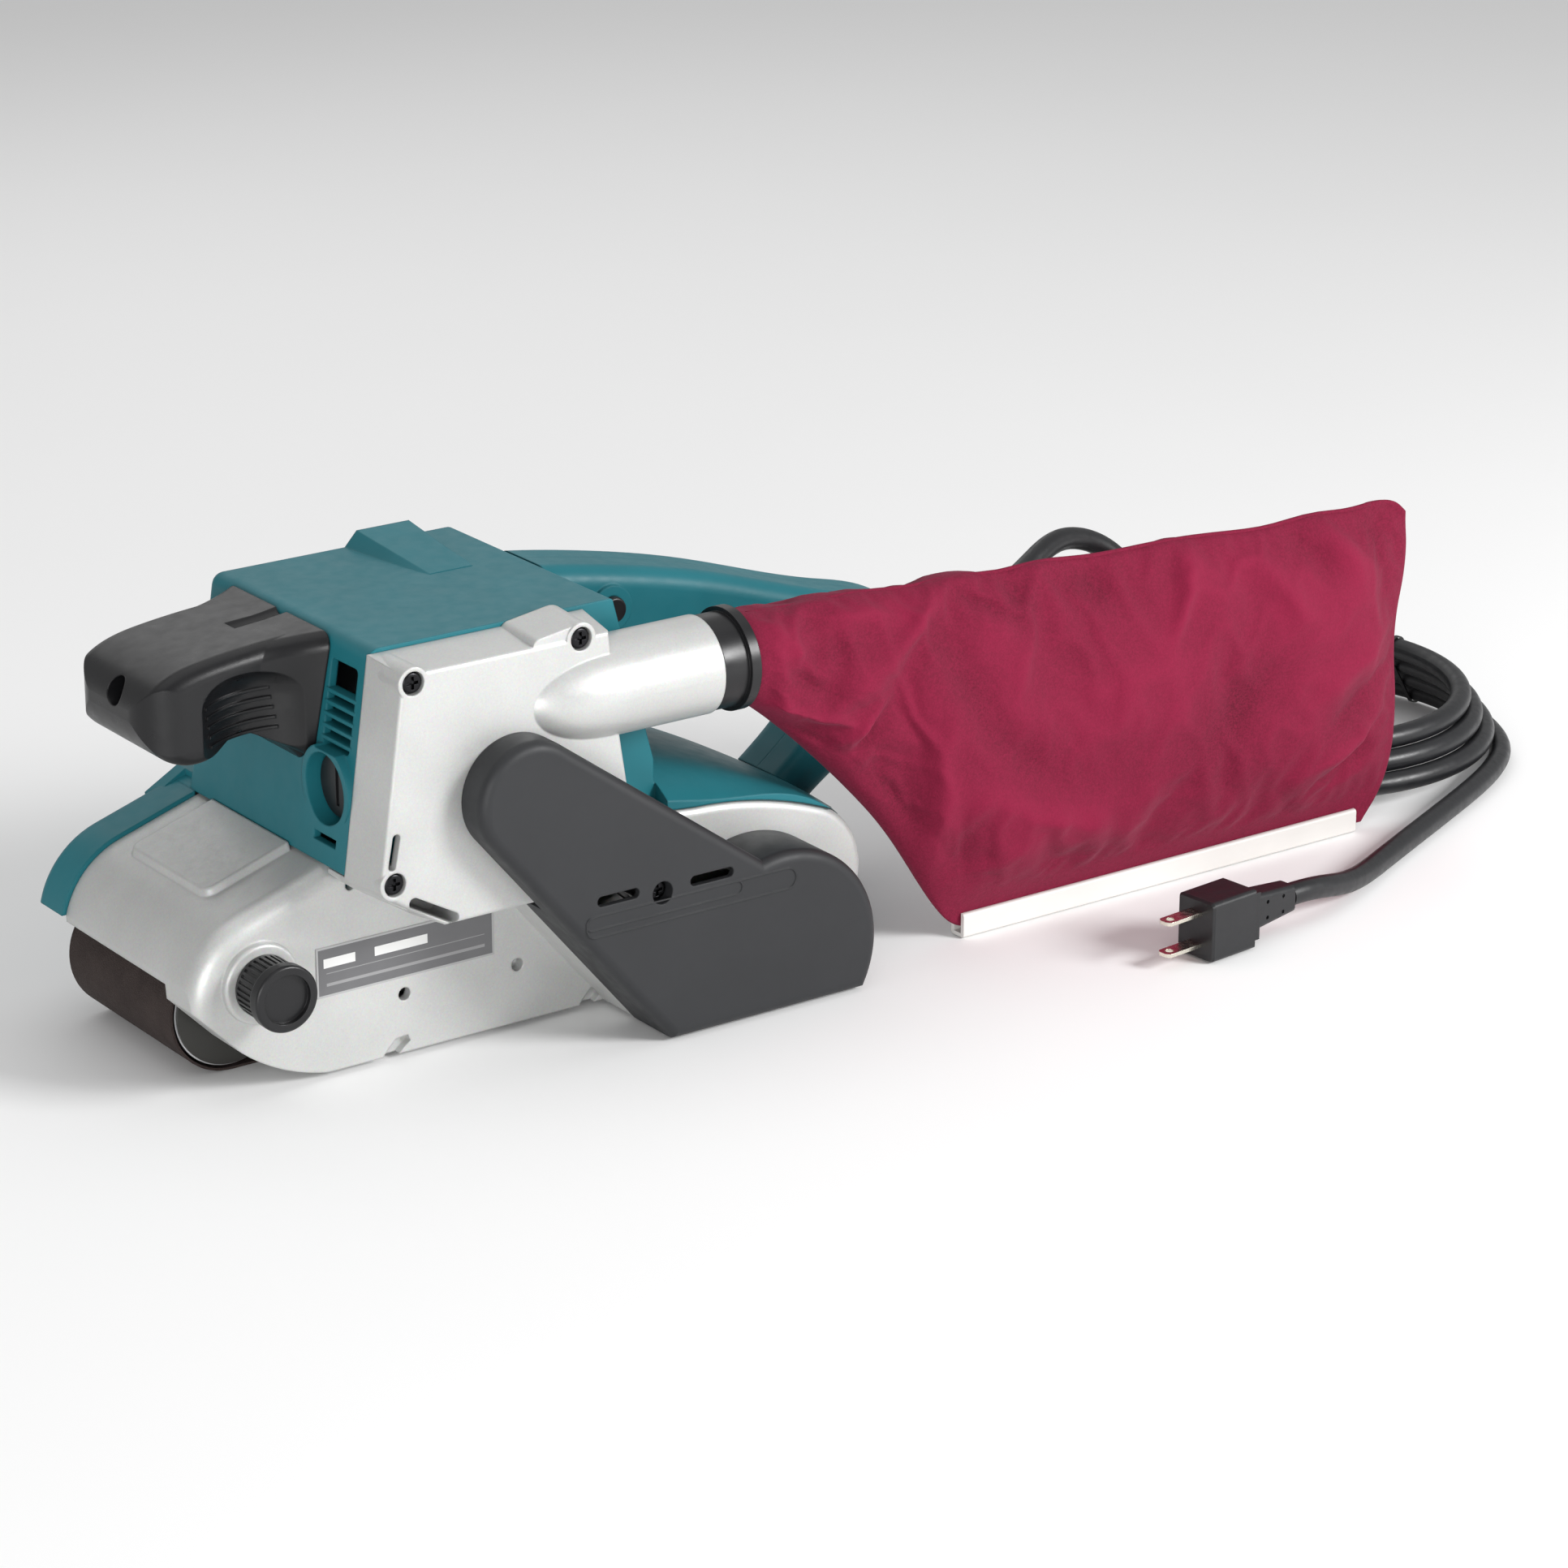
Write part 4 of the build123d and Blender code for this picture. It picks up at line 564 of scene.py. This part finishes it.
def bag_mesh():
    """Vertices, faces, top seam, held points and fold heights of the closed bag.

    The two panels share their points along the bottom, the top seam and the rear edge.
    """
    edges = bag_outline()
    columns, rows = 132, 56
    clip_low, clip_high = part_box("bag_clip")
    mid_y = (clip_low.y + clip_high.y) / 2
    hem_start_x, hem_fade, thinnest = 176, 32, 1.3
    vertices, faces, index, heights = [], [], {}, []
    for side in (-1, 1):
        for i in range(columns + 1):
            u = i / columns
            for j in range(rows + 1):
                v = j / rows
                if side == 1 and (j in (0, rows) or i == columns):
                    index[side, i, j] = index[-1, i, j]
                    continue
                p = bag_point(edges, u, v)
                above_clip = (p.z - clip_high.z) / MM
                pressed = clamp(above_clip / hem_fade) if p.x / MM > hem_start_x else 1
                edge_fade = min(1, v * 9, (1 - v) * 11, u * 30, (1 - u) * 12)
                fold = bag_fold(p.x / MM, p.z / MM, side) * edge_fade * pressed
                half = max(half_thickness(u, v, pressed) + fold, thinnest)
                heights.append(fold)
                index[side, i, j] = len(vertices)
                vertices.append((p.x, mid_y + side * half * MM, p.z))
    for side in (-1, 1):
        for i in range(columns):
            for j in range(rows):
                corners = ((i, j), (i + 1, j), (i + 1, j + 1), (i, j + 1))
                quad = [index[side, a, b] for a, b in corners]
                faces.append(quad if side == -1 else quad[::-1])
    mouth = [index[-1, 0, j] for j in range(rows + 1)] + [index[1, 0, j] for j in range(rows - 1, 0, -1)]
    faces.append(mouth[::-1])
    seam = [index[-1, i, rows] for i in range(columns + 1)]
    fixed = {
        point
        for (_, i, j), point in index.items()
        if i < 3 or i > columns - 3 or j < 8 or j == rows
    }
    return vertices, faces, seam, fixed, heights


def fill_with_air(thing, fixed, frames=20, cap=5 * MM):
    """Lets the cloth settle under a little air pressure and keeps the result as the mesh.

    Fixed points are held, and no point moves further than the cap.
    """
    start = [v.co.copy() for v in thing.data.vertices]
    group = thing.vertex_groups.new(name="held")
    group.add(sorted(fixed), 1.0, "REPLACE")
    cloth = thing.modifiers.new("cloth", "CLOTH")
    settings = cloth.settings
    settings.quality = 6
    settings.mass = 0.25
    settings.tension_stiffness = 22
    settings.compression_stiffness = 10
    settings.shear_stiffness = 6
    settings.bending_stiffness = 0.8
    settings.use_pressure = True
    settings.uniform_pressure_force = 2.2
    settings.shrink_min = -0.035
    settings.vertex_group_mass = "held"
    settings.effector_weights.gravity = 0.0
    cloth.collision_settings.use_collision = False
    cloth.point_cache.frame_start = 1
    cloth.point_cache.frame_end = frames
    for number in range(1, frames + 1):
        bpy.context.scene.frame_set(number)
    moved = thing.evaluated_get(bpy.context.evaluated_depsgraph_get()).to_mesh()
    settled = [v.co.copy() for v in moved.vertices]
    thing.modifiers.remove(cloth)
    thing.vertex_groups.remove(group)
    bpy.context.scene.frame_set(1)
    for vertex, old, new in zip(thing.data.vertices, start, settled):
        step = new - old
        if step.length > cap:
            step *= cap / step.length
        vertex.co = old + step


def dust_bag():
    """The cloth bag with its piped top seam, in the place of the CAD bag."""
    vertices, faces, seam, fixed, heights = bag_mesh()
    bag = mesh_object("dust_bag_cloth", vertices, faces, looks["bag_cloth"])
    # the fold heights also drive the painted shade in the valleys and the painted highlight on the ridges of
    # bag_cloth
    bag.data.attributes.new("fold", "FLOAT", "POINT").data.foreach_set("value", heights)
    fill_with_air(bag, fixed)

    # the piping sits a little below the edge, and leaves out the neck and the rear corner
    drop = Vector((0, 0, 1.1 * MM))
    neck_columns, corner_columns = 2, 9
    seam_points = [bag.data.vertices[i].co - drop for i in seam[neck_columns:-corner_columns]]
    cloth = looks["bag_cloth"]
    piping = tube("bag_top_seam", seam_points, radius=1.0 * MM, material=cloth, up=Vector((0, 1, 0)))

    smooth = bag.modifiers.new("smooth", "SUBSURF")
    smooth.levels = smooth.render_levels = 1
    for thing in (bag, piping):
        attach(thing, "dust_bag")
    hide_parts("dust_bag")


# ---------------------------------------------------------------- tension spring
def spring():
    """A coil in the place of the CAD spring; it keeps the same length when the carriage slides back."""
    low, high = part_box("tension_spring")
    wire_radius = 0.7 * MM
    coil_radius = (high.z - low.z) / 2 - wire_radius
    middle_z = (high.z + low.z) / 2
    turns, steps_per_turn = 5.9, 28
    steps = int(turns * steps_per_turn)
    points = []
    for i in range(steps + 1):
        angle = math.tau * i / steps_per_turn
        x = low.x + wire_radius + (high.x - low.x - 2 * wire_radius) * i / steps
        points.append(Vector((x, coil_radius * math.cos(angle), middle_z + coil_radius * math.sin(angle))))
    coil = tube("tension_spring_coil", points, wire_radius, looks["steel"], up=Vector((1, 0, 0)))
    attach(coil, "machine")
    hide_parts("tension_spring")
    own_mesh(coil)


# ---------------------------------------------------------------- floor, light and camera
def floor():
    """A large pale sheet just under the machine."""
    look = Look("floor_paint", roughness=0.9, edge=0, specular=0.1)
    look.colour(look.mix(look.noise(300), (0.92, 0.92, 0.92), (0.94, 0.94, 0.94)))
    size = 6.0
    corners = [(-size, -size, 0), (size, -size, 0), (size, size, 0), (-size, size, 0)]
    sheet = mesh_object("floor", corners, [(0, 1, 2, 3)], look.done())
    sheet.location.z = cad_box[0][2] - 0.1 * MM


def area_light(name, place, target, size, power):
    """A soft white rectangular light that looks at a target."""
    data = bpy.data.lights.new(name, "AREA")
    data.shape = "RECTANGLE"
    data.size, data.size_y = size
    data.energy = power
    lamp = add_to_scene(name, data)
    lamp.location = place
    aim = Vector(target) - Vector(place)
    lamp.rotation_euler = aim.to_track_quat("-Z", "Y").to_euler()


def studio():
    """White surroundings, a weak softbox overhead, a key from the right, a low fill and a rear edge light."""
    world = bpy.data.worlds.new("studio")
    bpy.context.scene.world = world
    world.use_nodes = True
    background = world.node_tree.nodes["Background"]
    background.inputs["Color"].default_value = (1, 1, 1, 1)
    background.inputs["Strength"].default_value = 0.45
    middle = (0.15, -0.02, 0.07)
    area_light("overhead", (0.1, 0.2, 1.5), middle, size=(1.6, 1.2), power=3.5)
    area_light("key", (1.15, -1.6, 0.95), middle, size=(0.7, 0.6), power=40)
    area_light("low_front", (-1.2, -1.4, 0.3), (0, 0, 0.04), size=(0.9, 0.5), power=15)
    area_light("rear_edge", (0.4, 1.3, 0.9), middle, size=(1.4, 0.6), power=2)


def camera():
    """Long lens, from the front left of the belt-cover side and a little above."""
    azimuth, elevation = math.radians(-35.6), math.radians(19.9)
    level = math.cos(elevation)
    back = Vector((math.sin(azimuth) * level, -math.cos(azimuth) * level, math.sin(elevation)))
    right = Vector((math.cos(azimuth), math.sin(azimuth), 0))
    up = back.cross(right)
    data = bpy.data.cameras.new("camera")
    data.sensor_width = 36
    data.lens = 111.8
    data.clip_end = 50
    eye = add_to_scene("camera", data)
    turn = Matrix((right, up, back)).transposed().to_4x4()
    eye.matrix_world = Matrix.Translation(Vector((-0.8697, -1.4575, 0.6892))) @ turn
    bpy.context.scene.camera = eye


dust_bag()
spring()
floor()
studio()
camera()
bpy.context.scene.view_settings.view_transform = "Standard"
